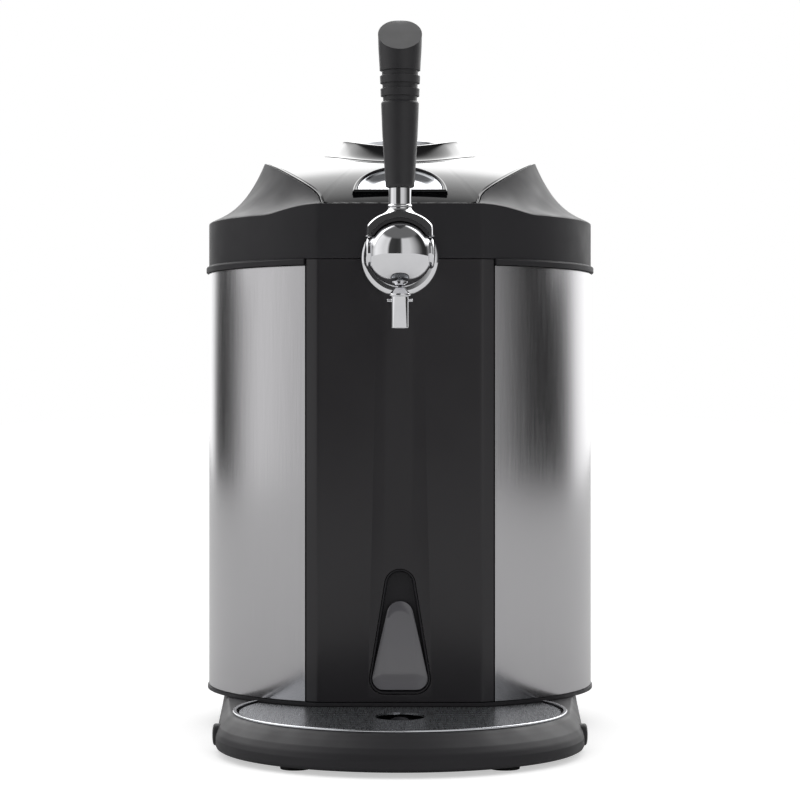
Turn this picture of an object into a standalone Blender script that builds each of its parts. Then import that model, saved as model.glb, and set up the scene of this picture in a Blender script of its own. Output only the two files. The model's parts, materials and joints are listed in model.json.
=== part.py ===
"""Mini keg beer dispenser: a cooled tabletop cabinet with a tap, for one five litre keg.

Lengths are metres, +Z is up and the front faces -Y. Every piece is drawn with the cabinet's
vertical axis at x = 0, y = 0, and one empty then moves the whole machine so that the origin
lies under the middle of its outline.
"""

import math

import bmesh
import bpy
from mathutils import Matrix, Vector

# Driving dimensions of the cabinet
BODY_RADIUS = 0.1296
STEEL_THICKNESS = 0.0014
FRAME_THICKNESS = 0.0025
FRONT_FLAT_CUT = 0.011
FRONT_FLAT = BODY_RADIUS - FRONT_FLAT_CUT
PANEL_HALF_WIDTH = 0.0595
PANEL_THICKNESS = 0.003
PANEL_GROOVE = 0.0009
BODY_BOTTOM = 0.0245
SEAM_HEIGHT = 0.3045
FRONT_SEAM_HEIGHT = 0.3084
COLLAR_TOP = 0.3378
COLLAR_RISE_Y = 0.094
COLLAR_LIP = 0.0018
COLLAR_LIP_HEIGHT = 0.0045
LID_FRONT_EDGE = 0.3433
LID_BEND_Y = 0.1083
LID_CROWN = 0.3855
LID_SIDE_DROP = 0.0068
HORN_PEAK_RADIUS = 0.092
FRONT_REACH = 0.264
REAR_REACH = 0.156
INLET_PROUD = 0.0012

# Driving dimensions of the keg space
KEG_WELL_RADIUS = 0.0885
KEG_WELL_WALL = 0.0015
KEG_WELL_FLOOR = 0.0625
KEG_WELL_TOP = 0.3277
INSULATION_RADIUS = 0.112
INSULATION_FRONT = 0.097

# Driving dimensions of the base and the tray
BASE_TOP = 0.0242
FOOT_HEIGHT = 0.0022
TRAY_RADIUS = 0.1013
TRAY_CENTRE_Y = -0.140
BASE_RIM_WIDTH = 0.005
BASE_SPREAD = 0.008
NECK_RADIUS = 0.1176
NECK_SPREAD = 0.003

# Driving dimensions of the tap
TAP_Y = -0.172
TAP_HEIGHT = 0.3084
BALL_RADIUS = 0.0203
SHANK_RADIUS = 0.007
HANDLE_RISE = 0.0401
HANDLE_LENGTH = 0.105
HANDLE_BOTTOM = TAP_HEIGHT + HANDLE_RISE
HANDLE_TOP = HANDLE_BOTTOM + HANDLE_LENGTH

# Driving dimensions of the rear housing
HOUSING_HALF_WIDTH = 0.070
HOUSING_WALL = 0.0025
COOLER_HEIGHT = 0.145

# Clearances
GAP = 0.0003
SLIDE_GAP = 0.0006
OVERRUN = 0.003

# Facets
LARGE_SIDES = 60
WAY_COUNT = 48
WELL_SIDES = 48
SMALL_SIDES = 24
FINE_SIDES = 16

# Values that follow from the driving dimensions
AXIS_SHIFT = (FRONT_REACH - REAR_REACH - INLET_PROUD) / 2
BASE_BOTTOM = FOOT_HEIGHT + GAP
FRAME_RADIUS = BODY_RADIUS - STEEL_THICKNESS - GAP
WALL_BOTTOM_LIFT = 0.0021
WALL_BOTTOM = BODY_BOTTOM + WALL_BOTTOM_LIFT + GAP
WALL_TOP = SEAM_HEIGHT - GAP
PANEL_INSIDE = FRONT_FLAT - PANEL_THICKNESS
FRONT_CORNER_X = math.sqrt(BODY_RADIUS**2 - FRONT_FLAT**2)

ROOT_NAME = "machine_place"


def clear_scene():
    for item in list(bpy.data.objects):
        bpy.data.objects.remove(item)


def new_collection(name):
    made = bpy.data.collections.new(name)
    bpy.context.scene.collection.children.link(made)
    return made


clear_scene()
PARTS = new_collection("mini_keg_dispenser")
CUTTERS = new_collection("cutters")
ROOT = bpy.data.objects.new(ROOT_NAME, None)
PARTS.objects.link(ROOT)
ROOT.location = (0, AXIS_SHIFT, 0)
PIVOT_PLACES = {}


def srgb(code):
    """Linear colour of a six digit sRGB code."""
    channels = [int(code[i : i + 2], 16) / 255 for i in (0, 2, 4)]
    return [c / 12.92 if c <= 0.04045 else ((c + 0.055) / 1.055) ** 2.4 for c in channels] + [1]


def finish(name, colour, roughness, metallic=0.0):
    made = bpy.data.materials.new(name)
    made.use_nodes = True
    shader = made.node_tree.nodes["Principled BSDF"]
    shader.inputs["Base Color"].default_value = srgb(colour)
    shader.inputs["Roughness"].default_value = roughness
    shader.inputs["Metallic"].default_value = metallic
    return made


SATIN_BLACK = finish("satin_black_abs", "2b2a2d", 0.45)
GLOSS_BLACK = finish("gloss_black_abs", "0a0a0c", 0.08)
HANDLE_BLACK = finish("handle_soft_black", "242326", 0.5)
STEEL = finish("satin_stainless_steel", "a9a8aa", 0.3, 1.0)
CHROME = finish("chrome_plated_brass", "e8e8ea", 0.05, 1.0)
SILVER = finish("silver_plated_trim", "d6d8dc", 0.15, 1.0)
MIRROR_STEEL = finish("polished_stainless_steel", "c4c7cc", 0.12, 1.0)
ALUMINIUM = finish("aluminium", "c8cacc", 0.4, 1.0)
FOAM = finish("insulation_foam", "e6e2d3", 0.9)
RUBBER = finish("black_rubber", "1c1b1d", 0.8)
SMOKE = finish("smoked_lens", "5c5c60", 0.12)
CERAMIC = finish("white_ceramic", "e9e8e2", 0.5)
BOARD = finish("circuit_board_green", "1f5a38", 0.5)
HOSE = finish("clear_hose", "d9dcd8", 0.25)


def add_object(name, mesh, surface=None):
    """A part with its finish, or a cutter where there is no finish."""
    thing = bpy.data.objects.new(name, mesh)
    if surface is None:
        CUTTERS.objects.link(thing)
        thing.hide_render = True
        thing.display_type = "WIRE"
    else:
        PARTS.objects.link(thing)
        mesh.materials.clear()
        mesh.materials.append(surface)
    thing.parent = ROOT
    return thing


def pivot(name, place, carrier=None):
    """An empty on a joint's axis, which carries the pieces that the joint moves."""
    empty = bpy.data.objects.new(name, None)
    PARTS.objects.link(empty)
    empty.parent = carrier or ROOT
    empty.location = Vector(place) - (PIVOT_PLACES[carrier.name] if carrier else Vector())
    PIVOT_PLACES[name] = Vector(place)
    return empty


def carry(carrier, *things):
    for thing in things:
        thing.parent = carrier
        thing.location = thing.location - PIVOT_PLACES[carrier.name]


def smooth(mesh, degrees=35):
    mesh.shade_smooth()
    mesh.set_sharp_from_angle(angle=math.radians(degrees))


def mesh_from(name, shape, smoothed=True):
    bmesh.ops.recalc_face_normals(shape, faces=shape.faces)
    mesh = bpy.data.meshes.new(name)
    shape.to_mesh(mesh)
    shape.free()
    if smoothed:
        smooth(mesh)
    return mesh


def cut(target, tool, operation="DIFFERENCE"):
    change = target.modifiers.new(f"{operation}_{tool.name}", "BOOLEAN")
    change.operation = operation
    change.solver = "EXACT"
    change.object = tool
    return target


def join(target, *tools):
    for tool in tools:
        cut(target, tool, "UNION")
    return target


def block(name, low, high, surface=None, rounding=0.0):
    """A box between two corners, with its edges rounded where a radius is given."""
    shape = bmesh.new()
    bmesh.ops.create_cube(shape, size=1)
    size = Vector(high) - Vector(low)
    middle = (Vector(high) + Vector(low)) / 2
    bmesh.ops.transform(shape, matrix=Matrix.Diagonal((*size, 1)), verts=shape.verts)
    bmesh.ops.translate(shape, vec=middle, verts=shape.verts)
    thing = add_object(name, mesh_from(name, shape, smoothed=False), surface)
    if rounding:
        edge = thing.modifiers.new("rounded", "BEVEL")
        edge.width = rounding
        edge.segments = 2
    return thing


def rod(name, start, end, radius, surface=None, sides=SMALL_SIDES, end_radius=None):
    """A cylinder or a cone between two points."""
    start, end = Vector(start), Vector(end)
    shape = bmesh.new()
    far = radius if end_radius is None else end_radius
    bmesh.ops.create_cone(
        shape, cap_ends=True, segments=sides, radius1=radius, radius2=far, depth=(end - start).length
    )
    turn = Vector((0, 0, 1)).rotation_difference(end - start).to_matrix()
    bmesh.ops.rotate(shape, matrix=turn, verts=shape.verts)
    bmesh.ops.translate(shape, vec=(start + end) / 2, verts=shape.verts)
    return add_object(name, mesh_from(name, shape), surface)


AXIS_TURNS = {"+Z": (0, 0, 0), "-Y": (math.pi / 2, 0, 0), "+Y": (-math.pi / 2, 0, 0),
              "+X": (0, math.pi / 2, 0), "-X": (0, -math.pi / 2, 0)}


def turned(name, profile, surface=None, sides=SMALL_SIDES, ring=False, place=(0, 0, 0), axis="+Z"):
    """A profile of (radius, height) turned about an axis. It runs down its outer side.

    A ring's profile is closed, and otherwise it starts and ends on the axis.
    """
    mesh = bpy.data.meshes.new(name)
    links = [(i, i + 1) for i in range(len(profile) - 1)]
    if ring:
        links.append((len(profile) - 1, 0))
    mesh.from_pydata([(r, 0, z) for r, z in profile], links, [])
    thing = add_object(name, mesh, surface)
    thing.location = place
    thing.rotation_euler = AXIS_TURNS[axis]
    lathe = thing.modifiers.new("turned", "SCREW")
    lathe.axis = "Z"
    lathe.steps = sides
    lathe.render_steps = sides
    lathe.use_merge_vertices = True
    lathe.merge_threshold = 0.00005
    lathe.use_smooth_shade = False
    return thing


def curve_mesh(name, curve, matrix, surface):
    """The closed mesh of a curve, in place of the curve."""
    holder = bpy.data.objects.new(f"{name}_curve", curve)
    bpy.context.scene.collection.objects.link(holder)
    graph = bpy.context.evaluated_depsgraph_get()
    mesh = bpy.data.meshes.new_from_object(holder.evaluated_get(graph))
    bpy.data.objects.remove(holder)
    shape = bmesh.new()
    shape.from_mesh(mesh)
    bpy.data.meshes.remove(mesh)
    bmesh.ops.remove_doubles(shape, verts=shape.verts, dist=0.000005)
    bmesh.ops.transform(shape, matrix=matrix, verts=shape.verts)
    return add_object(name, mesh_from(name, shape), surface)


FLAT = Matrix.Identity(4)
UPRIGHT = Matrix.Rotation(math.pi / 2, 4, "X")


def plate(name, outlines, low, high, surface=None, matrix=FLAT):
    """A flat sheet from low to high along its own Z. The outlines after the first are holes."""
    curve = bpy.data.curves.new(name, "CURVE")
    curve.dimensions = "2D"
    curve.fill_mode = "BOTH"
    curve.extrude = (high - low) / 2
    for outline in outlines:
        spline = curve.splines.new("POLY")
        spline.points.add(len(outline) - 1)
        for point, (x, y) in zip(spline.points, outline):
            point.co = (x, y, 0, 1)
        spline.use_cyclic_u = True
    return curve_mesh(name, curve, matrix @ Matrix.Translation((0, 0, (low + high) / 2)), surface)


def tube(name, points, radius, surface, resolution=2):
    curve = bpy.data.curves.new(name, "CURVE")
    curve.dimensions = "3D"
    curve.bevel_depth = radius
    curve.bevel_resolution = resolution
    curve.use_fill_caps = True
    spline = curve.splines.new("POLY")
    spline.points.add(len(points) - 1)
    for point, place in zip(spline.points, points):
        point.co = (*place, 1)
    return curve_mesh(name, curve, FLAT, surface)


def loft(name, rings, surface=None, closed=False):
    """A skin over rings with the same number of points. A ring of one point closes an end."""
    shape = bmesh.new()
    made = [[shape.verts.new(point) for point in ring] for ring in rings]
    pairs = list(zip(made, made[1:]))
    if closed:
        pairs.append((made[-1], made[0]))
    for one, other in pairs:
        count = max(len(one), len(other))
        for i in range(count):
            j = (i + 1) % count
            if len(one) == 1:
                shape.faces.new((one[0], other[j], other[i]))
            elif len(other) == 1:
                shape.faces.new((one[i], one[j], other[0]))
            else:
                shape.faces.new((one[i], one[j], other[j], other[i]))
    if not closed:
        for end in (made[0], made[-1]):
            if len(end) > 1:
                shape.faces.new(end)
    return add_object(name, mesh_from(name, shape), surface)


def arc(centre, radius, start, end, count):
    """Points on an arc, with its angles in degrees from +X."""
    points = []
    for i in range(count + 1):
        angle = math.radians(start + (end - start) * i / count)
        points.append((centre[0] + radius * math.cos(angle), centre[1] + radius * math.sin(angle)))
    return points


def rounded_box(low, high, radius, steps=4):
    """The outline of a rectangle with round corners."""
    (x0, y0), (x1, y1) = low, high
    corners = (
        ((x1 - radius, y1 - radius), 0),
        ((x0 + radius, y1 - radius), 90),
        ((x0 + radius, y0 + radius), 180),
        ((x1 - radius, y0 + radius), 270),
    )
    return [p for centre, start in corners for p in arc(centre, radius, start, start + 90, steps)]


def slot(x0, x1, y, width, steps=2):
    """The outline of a slot with round ends, along X."""
    half = width / 2
    return arc((x1 - half, y), half, -90, 90, steps) + arc((x0 + half, y), half, 90, 270, steps)


def body_outline(radius, flat, count=60):
    """The cabinet's plan: a circle with a flat front."""
    corner = math.degrees(math.acos(flat / radius))
    return arc((0, 0), radius, -90 + corner, 270 - corner, count)


# Base: the low shell that carries the cabinet and holds the drip tray
BASE_FLOOR = 0.0035
BASE_LEVEL_SHARES = (
    (0.0, 0.5), (0.06, 0.9), (0.14, 1.0), (0.36, 1.0), (0.66, 0.7), (1.0, 0.0),
)
BASE_REAR_RADIUS = 0.016
BASE_REAR_SPREAD = 0.002
BASE_FRONT_STEP = 0.010
BAY_RADIUS = 0.110
BASE_DIRECTIONS = 60


def hull_ring(discs, height):
    """One point of the discs' common outline for each of a full turn of directions."""
    ring = []
    for i in range(BASE_DIRECTIONS):
        angle = 2 * math.pi * i / BASE_DIRECTIONS
        way = Vector((math.cos(angle), math.sin(angle)))
        x, y, radius = max(discs, key=lambda d: way.dot(Vector(d[:2])) + d[2])
        ring.append((x + radius * way.x, y + radius * way.y, height))
    return ring


def base_discs(spread):
    """The discs that the base's outline is stretched round, for a share of the spread."""
    front_radius = TRAY_RADIUS + BASE_RIM_WIDTH + spread * BASE_SPREAD
    reach = FRONT_REACH - BASE_FRONT_STEP * (1 - spread) - BASE_SPREAD * (1 - spread)
    rear = BASE_REAR_RADIUS - BASE_REAR_SPREAD * (1 - spread)
    side = HOUSING_HALF_WIDTH - BASE_REAR_RADIUS
    return (
        (0, front_radius - reach, front_radius),
        (0, 0, NECK_RADIUS + spread * NECK_SPREAD),
        (side, REAR_REACH - BASE_REAR_RADIUS, rear),
        (-side, REAR_REACH - BASE_REAR_RADIUS, rear),
    )


TRAY_BODY_CLEARANCE = 0.0015


def crescent(radius, inset=0.0, count=44):
    """The drip tray's plan: a disc in front of the cabinet, cut off by the cabinet's outline."""
    body = BODY_RADIUS + COLLAR_LIP + TRAY_BODY_CLEARANCE + inset
    flat = FRONT_FLAT + TRAY_BODY_CLEARANCE + inset
    tip_y = (radius**2 - body**2 - TRAY_CENTRE_Y**2) / (-2 * TRAY_CENTRE_Y)
    tip = math.degrees(math.asin((tip_y - TRAY_CENTRE_Y) / radius))
    meet = math.degrees(math.asin(flat / body))
    tip_body = math.degrees(math.asin(-tip_y / body))
    front = arc((0, TRAY_CENTRE_Y), radius, 180 - tip, 360 + tip, count)
    right = arc((0, 0), body, -tip_body, -meet, 5)[1:]
    left = arc((0, 0), body, 180 + meet, 180 + tip_body, 5)[:-1]
    return front + right + left


BUTTON_RADIUS = 0.0068
BUTTON_HEIGHT = 0.0108
BUTTON_PROUD = 0.0022
BUTTON_LENGTH = 0.0100
BUTTON_TRAVEL = 0.0018
BUTTON_DOME = 0.0012


def make_base():
    rings = []
    for rise, spread in BASE_LEVEL_SHARES:
        rings.append(hull_ring(base_discs(spread), BASE_BOTTOM + rise * (BASE_TOP - BASE_BOTTOM)))
    shell = loft("base_shell", rings, SATIN_BLACK)
    floor = BASE_BOTTOM + BASE_FLOOR
    cut(shell, plate("tray_pocket", [crescent(TRAY_RADIUS + GAP, -GAP)], floor, BASE_TOP + OVERRUN))
    cut(shell, rod("equipment_bay", (0, 0, floor), (0, 0, BASE_TOP + OVERRUN), BAY_RADIUS, None, WELL_SIDES))
    make_feet()
    make_side_buttons(shell)


FOOT_RADIUS = 0.009
FOOT_FRONT_INSET = 0.042
FOOT_REAR_INSET = 0.020
FOOT_FRONT = (0.062, FOOT_FRONT_INSET - FRONT_REACH)
FOOT_REAR = (0.052, REAR_REACH - FOOT_REAR_INSET)


def make_feet():
    places = (("front", FOOT_FRONT), ("rear", FOOT_REAR))
    for end, (x, y) in places:
        for side, way in (("left", -1), ("right", 1)):
            name = f"foot_{end}_{side}"
            rod(name, (way * x, y, 0), (way * x, y, FOOT_HEIGHT), FOOT_RADIUS, RUBBER, FINE_SIDES)


def make_side_buttons(shell):
    """Two round push buttons, one in each flank of the base."""
    discs = base_discs(1)
    y = discs[0][1]
    face = discs[0][2] + BUTTON_PROUD
    back = face - BUTTON_LENGTH
    for side, way, axis in (("left", -1, "-X"), ("right", 1, "+X")):
        seat = (way * (back - BUTTON_TRAVEL - GAP), y, BUTTON_HEIGHT)
        mouth = (way * (face + OVERRUN), y, BUTTON_HEIGHT)
        cut(shell, rod(f"{side}_button_hole", seat, mouth, BUTTON_RADIUS + GAP, None, 20))
        name = f"side_button_{side}"
        place = (way * back, y, BUTTON_HEIGHT)
        profile = (
            (0, BUTTON_LENGTH),
            (BUTTON_RADIUS - 2 * BUTTON_DOME, BUTTON_LENGTH),
            (BUTTON_RADIUS, BUTTON_LENGTH - BUTTON_DOME),
            (BUTTON_RADIUS, 0),
            (0, 0),
        )
        button = turned(name, profile, RUBBER, 20, place=place, axis=axis)
        carry(pivot(f"{name}_guide", place), button)


# Drip tray: a cup under a slotted plate, with a float that rises when it is full
TRAY_WALL = 0.002
TRAY_FLOOR = 0.0015
GRATE_THICKNESS = 0.0012
GRATE_INSET = 0.0009
SLOT_WIDTH = 0.0022
SLOT_PITCH = 0.009
SLOT_REACH = 0.057
SLOT_FIRST = 0.0125
SLOT_COUNT = 12
FLOAT_Y = -0.168
FLOAT_HOLE_HALF_WIDTH = 0.0156
FLOAT_HOLE_HALF_LENGTH = 0.0195
FLOAT_RADIUS = 0.0068
FLOAT_BORE = 0.0026
FLOAT_ROUND = 0.0018
POST_RADIUS = 0.0022
POST_HEIGHT = 0.0085
RIM_WIDTH = 0.0024
RIM_HEIGHT = 0.0011


def grate_slots(rim_radius):
    """Slots along X in even rows, split where the float's window lies and kept inside the rim."""
    slots = []
    edge = SLOT_WIDTH * 2
    for row in range(SLOT_COUNT):
        y = -FRONT_FLAT - SLOT_FIRST - row * SLOT_PITCH
        half = math.sqrt(max(rim_radius**2 - (y - TRAY_CENTRE_Y) ** 2, 0)) - edge
        half = min(half, SLOT_REACH)
        window = 1 - ((y - FLOAT_Y) / (FLOAT_HOLE_HALF_LENGTH + edge)) ** 2
        if half < edge:
            continue
        if window > 0:
            inner = FLOAT_HOLE_HALF_WIDTH + edge
            slots.append(slot(inner, half, y, SLOT_WIDTH))
            slots.append(slot(-half, -inner, y, SLOT_WIDTH))
        else:
            slots.append(slot(-half, half, y, SLOT_WIDTH))
    return slots


def make_tray():
    low = BASE_BOTTOM + BASE_FLOOR + GAP
    high = BASE_TOP - GRATE_THICKNESS - GAP
    floor = low + TRAY_FLOOR
    tray = plate("drip_tray", [crescent(TRAY_RADIUS)], low, high, SATIN_BLACK)
    inside = crescent(TRAY_RADIUS - TRAY_WALL, TRAY_WALL)
    cut(tray, plate("tray_inside", [inside], floor, high + OVERRUN))
    ends = (0, FLOAT_Y, low + GAP), (0, FLOAT_Y, floor + POST_HEIGHT)
    post = rod("float_post", *ends, POST_RADIUS, None, 12)
    join(tray, post)
    grate_radius = TRAY_RADIUS - GRATE_INSET
    window = [
        (FLOAT_HOLE_HALF_WIDTH * x, FLOAT_Y + FLOAT_HOLE_HALF_LENGTH * y)
        for x, y in arc((0, 0), 1, 0, 360, 24)[:-1]
    ]
    outlines = [crescent(grate_radius, GRATE_INSET), window] + grate_slots(grate_radius)
    grate = plate("drip_grate", outlines, high + GAP, BASE_TOP, MIRROR_STEEL)
    top = BASE_TOP - floor - 2 * GAP
    profile = (
        (0, top),
        (FLOAT_RADIUS - 2 * FLOAT_ROUND, top),
        (FLOAT_RADIUS, top - FLOAT_ROUND),
        (FLOAT_RADIUS, GAP),
        (FLOAT_BORE, GAP),
        (FLOAT_BORE, POST_HEIGHT + FLOAT_ROUND),
        (0, POST_HEIGHT + FLOAT_ROUND),
    )
    sensor = turned("tray_float", profile, SILVER, FINE_SIDES, place=(0, FLOAT_Y, floor))
    inner = TRAY_RADIUS + SLIDE_GAP
    rim_profile = (
        (inner + RIM_WIDTH, RIM_HEIGHT), (inner + RIM_WIDTH, 0), (inner, 0), (inner, RIM_HEIGHT),
    )
    rim = turned(
        "tray_rim", rim_profile, SILVER, LARGE_SIDES, True, (0, TRAY_CENTRE_Y, BASE_TOP + GAP)
    )
    outline = body_outline(BODY_RADIUS + COLLAR_LIP, FRONT_FLAT + SLIDE_GAP)
    cut(rim, plate("rim_trim", [outline], BASE_TOP - OVERRUN, BODY_BOTTOM + OVERRUN))
    tray_place = pivot("drip_tray_lift", (0, TRAY_CENTRE_Y, low))
    grate_place = pivot("drip_grate_lift", (0, TRAY_CENTRE_Y, BASE_TOP), tray_place)
    float_place = pivot("tray_float_guide", (0, FLOAT_Y, floor), tray_place)
    carry(tray_place, tray)
    carry(grate_place, grate)
    carry(float_place, sensor)


# Cabinet: floor, frame, steel sides and front panel
FLOOR_LIP = 0.0009
WINDOW_BOTTOM = 0.0318
WINDOW_HEIGHT = 0.0798
WINDOW_HALF_WIDTH = 0.0197
WINDOW_TOP_RADIUS = 0.0100
WINDOW_CORNER = 0.0100
COOLER_OPENING = 0.0415


def teardrop(inset, bottom, height, half_width, top_radius, corner, steps=6):
    """The plan of the window: a round top that widens to a broad foot with round corners."""
    top_radius = top_radius - inset
    corner = corner - inset
    half_width = half_width - inset
    low = bottom + inset
    top_centre = bottom + height - inset - top_radius
    slope = math.atan2(half_width - top_radius, top_centre - low - corner)
    tilt = math.degrees(slope)
    head = arc((0, top_centre), top_radius, tilt, 180 - tilt, 2 * steps)
    foot = half_width - corner
    left = arc((-foot, low + corner), corner, 180 - tilt, 270, steps)
    right = arc((foot, low + corner), corner, -90, tilt, steps)
    return head + left + right


def make_cabinet():
    floor_top = BODY_BOTTOM + WALL_BOTTOM_LIFT
    outline = body_outline(BODY_RADIUS + FLOOR_LIP, FRONT_FLAT + GAP)
    plate("body_floor", [outline], BODY_BOTTOM, floor_top, SATIN_BLACK)
    inner = FRAME_RADIUS - FRAME_THICKNESS
    profile = (
        (FRAME_RADIUS, WALL_TOP), (FRAME_RADIUS, WALL_BOTTOM), (inner, WALL_BOTTOM), (inner, WALL_TOP),
    )
    frame = turned("body_frame", profile, SATIN_BLACK, LARGE_SIDES, True)
    front = PANEL_INSIDE - GAP
    cut(frame, block("frame_front", (-BODY_RADIUS, -BODY_RADIUS, 0), (BODY_RADIUS, -front, COLLAR_TOP)))
    low = COOLER_HEIGHT - COOLER_OPENING
    high = COOLER_HEIGHT + COOLER_OPENING
    cut(frame, block("frame_back", (-COOLER_OPENING, 0, low), (COOLER_OPENING, BODY_RADIUS, high)))
    make_steel_panels()
    make_front_panel()


def make_steel_panels():
    """Two curved sheets, from the groove beside the front panel to the rear housing."""
    edge = PANEL_HALF_WIDTH + PANEL_GROOVE
    first = math.degrees(math.asin(edge / BODY_RADIUS))
    inner = BODY_RADIUS - STEEL_THICKNESS
    last = 180 - math.degrees(math.asin((HOUSING_HALF_WIDTH + SLIDE_GAP) / inner))
    for side, way in (("left", -1), ("right", 1)):
        start = -90 + way * first
        end = -90 + way * last
        outer_arc = arc((0, 0), BODY_RADIUS, start, end, 24)
        inner_arc = arc((0, 0), inner, end, start, 24)
        plate(f"steel_panel_{side}", [outer_arc + inner_arc], WALL_BOTTOM, WALL_TOP, STEEL)


def make_front_panel():
    """The black panel: a flat face whose two edges follow the round of the cabinet."""
    corner = math.degrees(math.asin(FRONT_CORNER_X / BODY_RADIUS))
    edge = math.degrees(math.asin(PANEL_HALF_WIDTH / BODY_RADIUS))
    inner_radius = FRAME_RADIUS + GAP
    inner_edge = math.degrees(math.asin((PANEL_HALF_WIDTH - SLIDE_GAP) / inner_radius))
    inner_corner = math.degrees(math.acos(PANEL_INSIDE / inner_radius))
    outline = arc((0, 0), BODY_RADIUS, -90 - edge, -90 - corner, 3)
    outline += arc((0, 0), BODY_RADIUS, -90 + corner, -90 + edge, 3)
    outline += arc((0, 0), inner_radius, -90 + inner_edge, -90 + inner_corner, 2)
    outline += arc((0, 0), inner_radius, -90 - inner_corner, -90 - inner_edge, 2)
    panel = plate("front_panel", [outline], WALL_BOTTOM, FRONT_SEAM_HEIGHT - GAP, SATIN_BLACK)
    opening = teardrop(
        0, WINDOW_BOTTOM, WINDOW_HEIGHT, WINDOW_HALF_WIDTH, WINDOW_TOP_RADIUS, WINDOW_CORNER
    )
    low, high = PANEL_INSIDE - OVERRUN, FRONT_FLAT + OVERRUN
    cut(panel, plate("window_opening", [opening], low, high, None, UPRIGHT))
    place = ((0, -PANEL_INSIDE + OVERRUN, TAP_HEIGHT), (0, -FRONT_FLAT - OVERRUN, TAP_HEIGHT))
    shank_room = rod("panel_shank_hole", *place, SHANK_RADIUS + GAP, None, SMALL_SIDES)
    cut(panel, shank_room)


# Window: a gloss dish behind the panel's opening, a smoked lens and the lamp board behind it
DISH_DEPTH = 0.009
DISH_WALL = 0.0011
DISH_RECESS = 0.0055
LENS_BOTTOM = 0.0344
LENS_HEIGHT = 0.0565
LENS_HALF_WIDTH = 0.0178
LENS_TOP_RADIUS = 0.0085
LENS_CORNER = 0.0075
LENS_THICKNESS = 0.0042
LENS_BEVEL = 0.0014
LAMP_BOARD_THICKNESS = 0.0016
LAMP_BOARD_HALF_WIDTH = 0.014


def make_window():
    face = FRONT_FLAT - GAP
    sizes = (WINDOW_BOTTOM, WINDOW_HEIGHT, WINDOW_HALF_WIDTH, WINDOW_TOP_RADIUS, WINDOW_CORNER)
    back = face - DISH_DEPTH
    floor = face - DISH_RECESS
    dish = plate("window_dish", [teardrop(GAP, *sizes)], back, face, GLOSS_BLACK, UPRIGHT)
    inside = teardrop(GAP + DISH_WALL, *sizes)
    cut(dish, plate("dish_inside", [inside], floor, face + OVERRUN, None, UPRIGHT))
    lens_sizes = (LENS_BOTTOM, LENS_HEIGHT, LENS_HALF_WIDTH, LENS_TOP_RADIUS, LENS_CORNER)
    low = floor + GAP
    high = low + LENS_THICKNESS
    lens = plate("window_lens", [teardrop(0, *lens_sizes)], low, high, SMOKE, UPRIGHT)
    edge = lens.modifiers.new("rounded", "BEVEL")
    edge.width = LENS_BEVEL
    edge.segments = 2
    edge.angle_limit = math.radians(60)
    board_back = back - GAP - LAMP_BOARD_THICKNESS
    block(
        "lamp_board",
        (-LAMP_BOARD_HALF_WIDTH, -back + GAP, LENS_BOTTOM),
        (LAMP_BOARD_HALF_WIDTH, -board_back, LENS_BOTTOM + LENS_HEIGHT),
        BOARD,
    )


# Keg well and its insulation
WELL_FLANGE = 0.0085
PAD_RADIUS = 0.078
PAD_THICKNESS = 0.002
INSULATION_TOP_GAP = 0.004
COLD_BLOCK_HALF = 0.030
COLD_BLOCK_BACK = 0.1147
PELTIER_HALF = 0.020
PELTIER_THICKNESS = 0.0039
SINK_HALF = 0.038
SINK_BASE = 0.004
SINK_FIN_DEPTH = 0.0145
SINK_FINS = 10
SINK_FIN_SHARE = 0.32
FAN_HALF = 0.040
FAN_DEPTH = 0.0100
FAN_BORE = 0.0375
FAN_HUB = 0.0120
FAN_ARM = 0.0022
FAN_BLADES = 7
FAN_TIP_GAP = 0.0012
FAN_BLADE_THICKNESS = 0.0009
FAN_BLADE_PITCH_DEGREES = 32
FAN_BLADE_DEPTH_SHARE = 0.42


def make_keg_space():
    outer = KEG_WELL_RADIUS + KEG_WELL_WALL
    floor_top = KEG_WELL_FLOOR + KEG_WELL_WALL
    profile = (
        (0, floor_top),
        (KEG_WELL_RADIUS, floor_top),
        (KEG_WELL_RADIUS, KEG_WELL_TOP),
        (outer + WELL_FLANGE, KEG_WELL_TOP),
        (outer + WELL_FLANGE, KEG_WELL_TOP - KEG_WELL_WALL),
        (outer, KEG_WELL_TOP - KEG_WELL_WALL),
        (outer, KEG_WELL_FLOOR),
        (0, KEG_WELL_FLOOR),
    )
    turned("keg_well", profile, ALUMINIUM, WELL_SIDES)
    pad_low = floor_top + GAP
    rod("keg_pad", (0, 0, pad_low), (0, 0, pad_low + PAD_THICKNESS), PAD_RADIUS, RUBBER, 32)
    make_insulation(outer + GAP)
    make_cooler(outer + GAP)


def make_insulation(bore):
    foot = WALL_BOTTOM
    top = KEG_WELL_TOP - KEG_WELL_WALL - INSULATION_TOP_GAP
    seat = KEG_WELL_FLOOR - GAP
    profile = (
        (0, seat), (bore, seat), (bore, top),
        (INSULATION_RADIUS, top), (INSULATION_RADIUS, foot), (0, foot),
    )
    foam = turned("insulation", profile, FOAM, WELL_SIDES)
    low, high = (-BODY_RADIUS, -BODY_RADIUS, 0), (BODY_RADIUS, -INSULATION_FRONT, COLLAR_TOP)
    cut(foam, block("foam_front", low, high))
    room = COLD_BLOCK_HALF + GAP
    low = COOLER_HEIGHT - room
    cut(foam, block("foam_back", (-room, 0, low), (room, BODY_RADIUS, COOLER_HEIGHT + room)))


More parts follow.
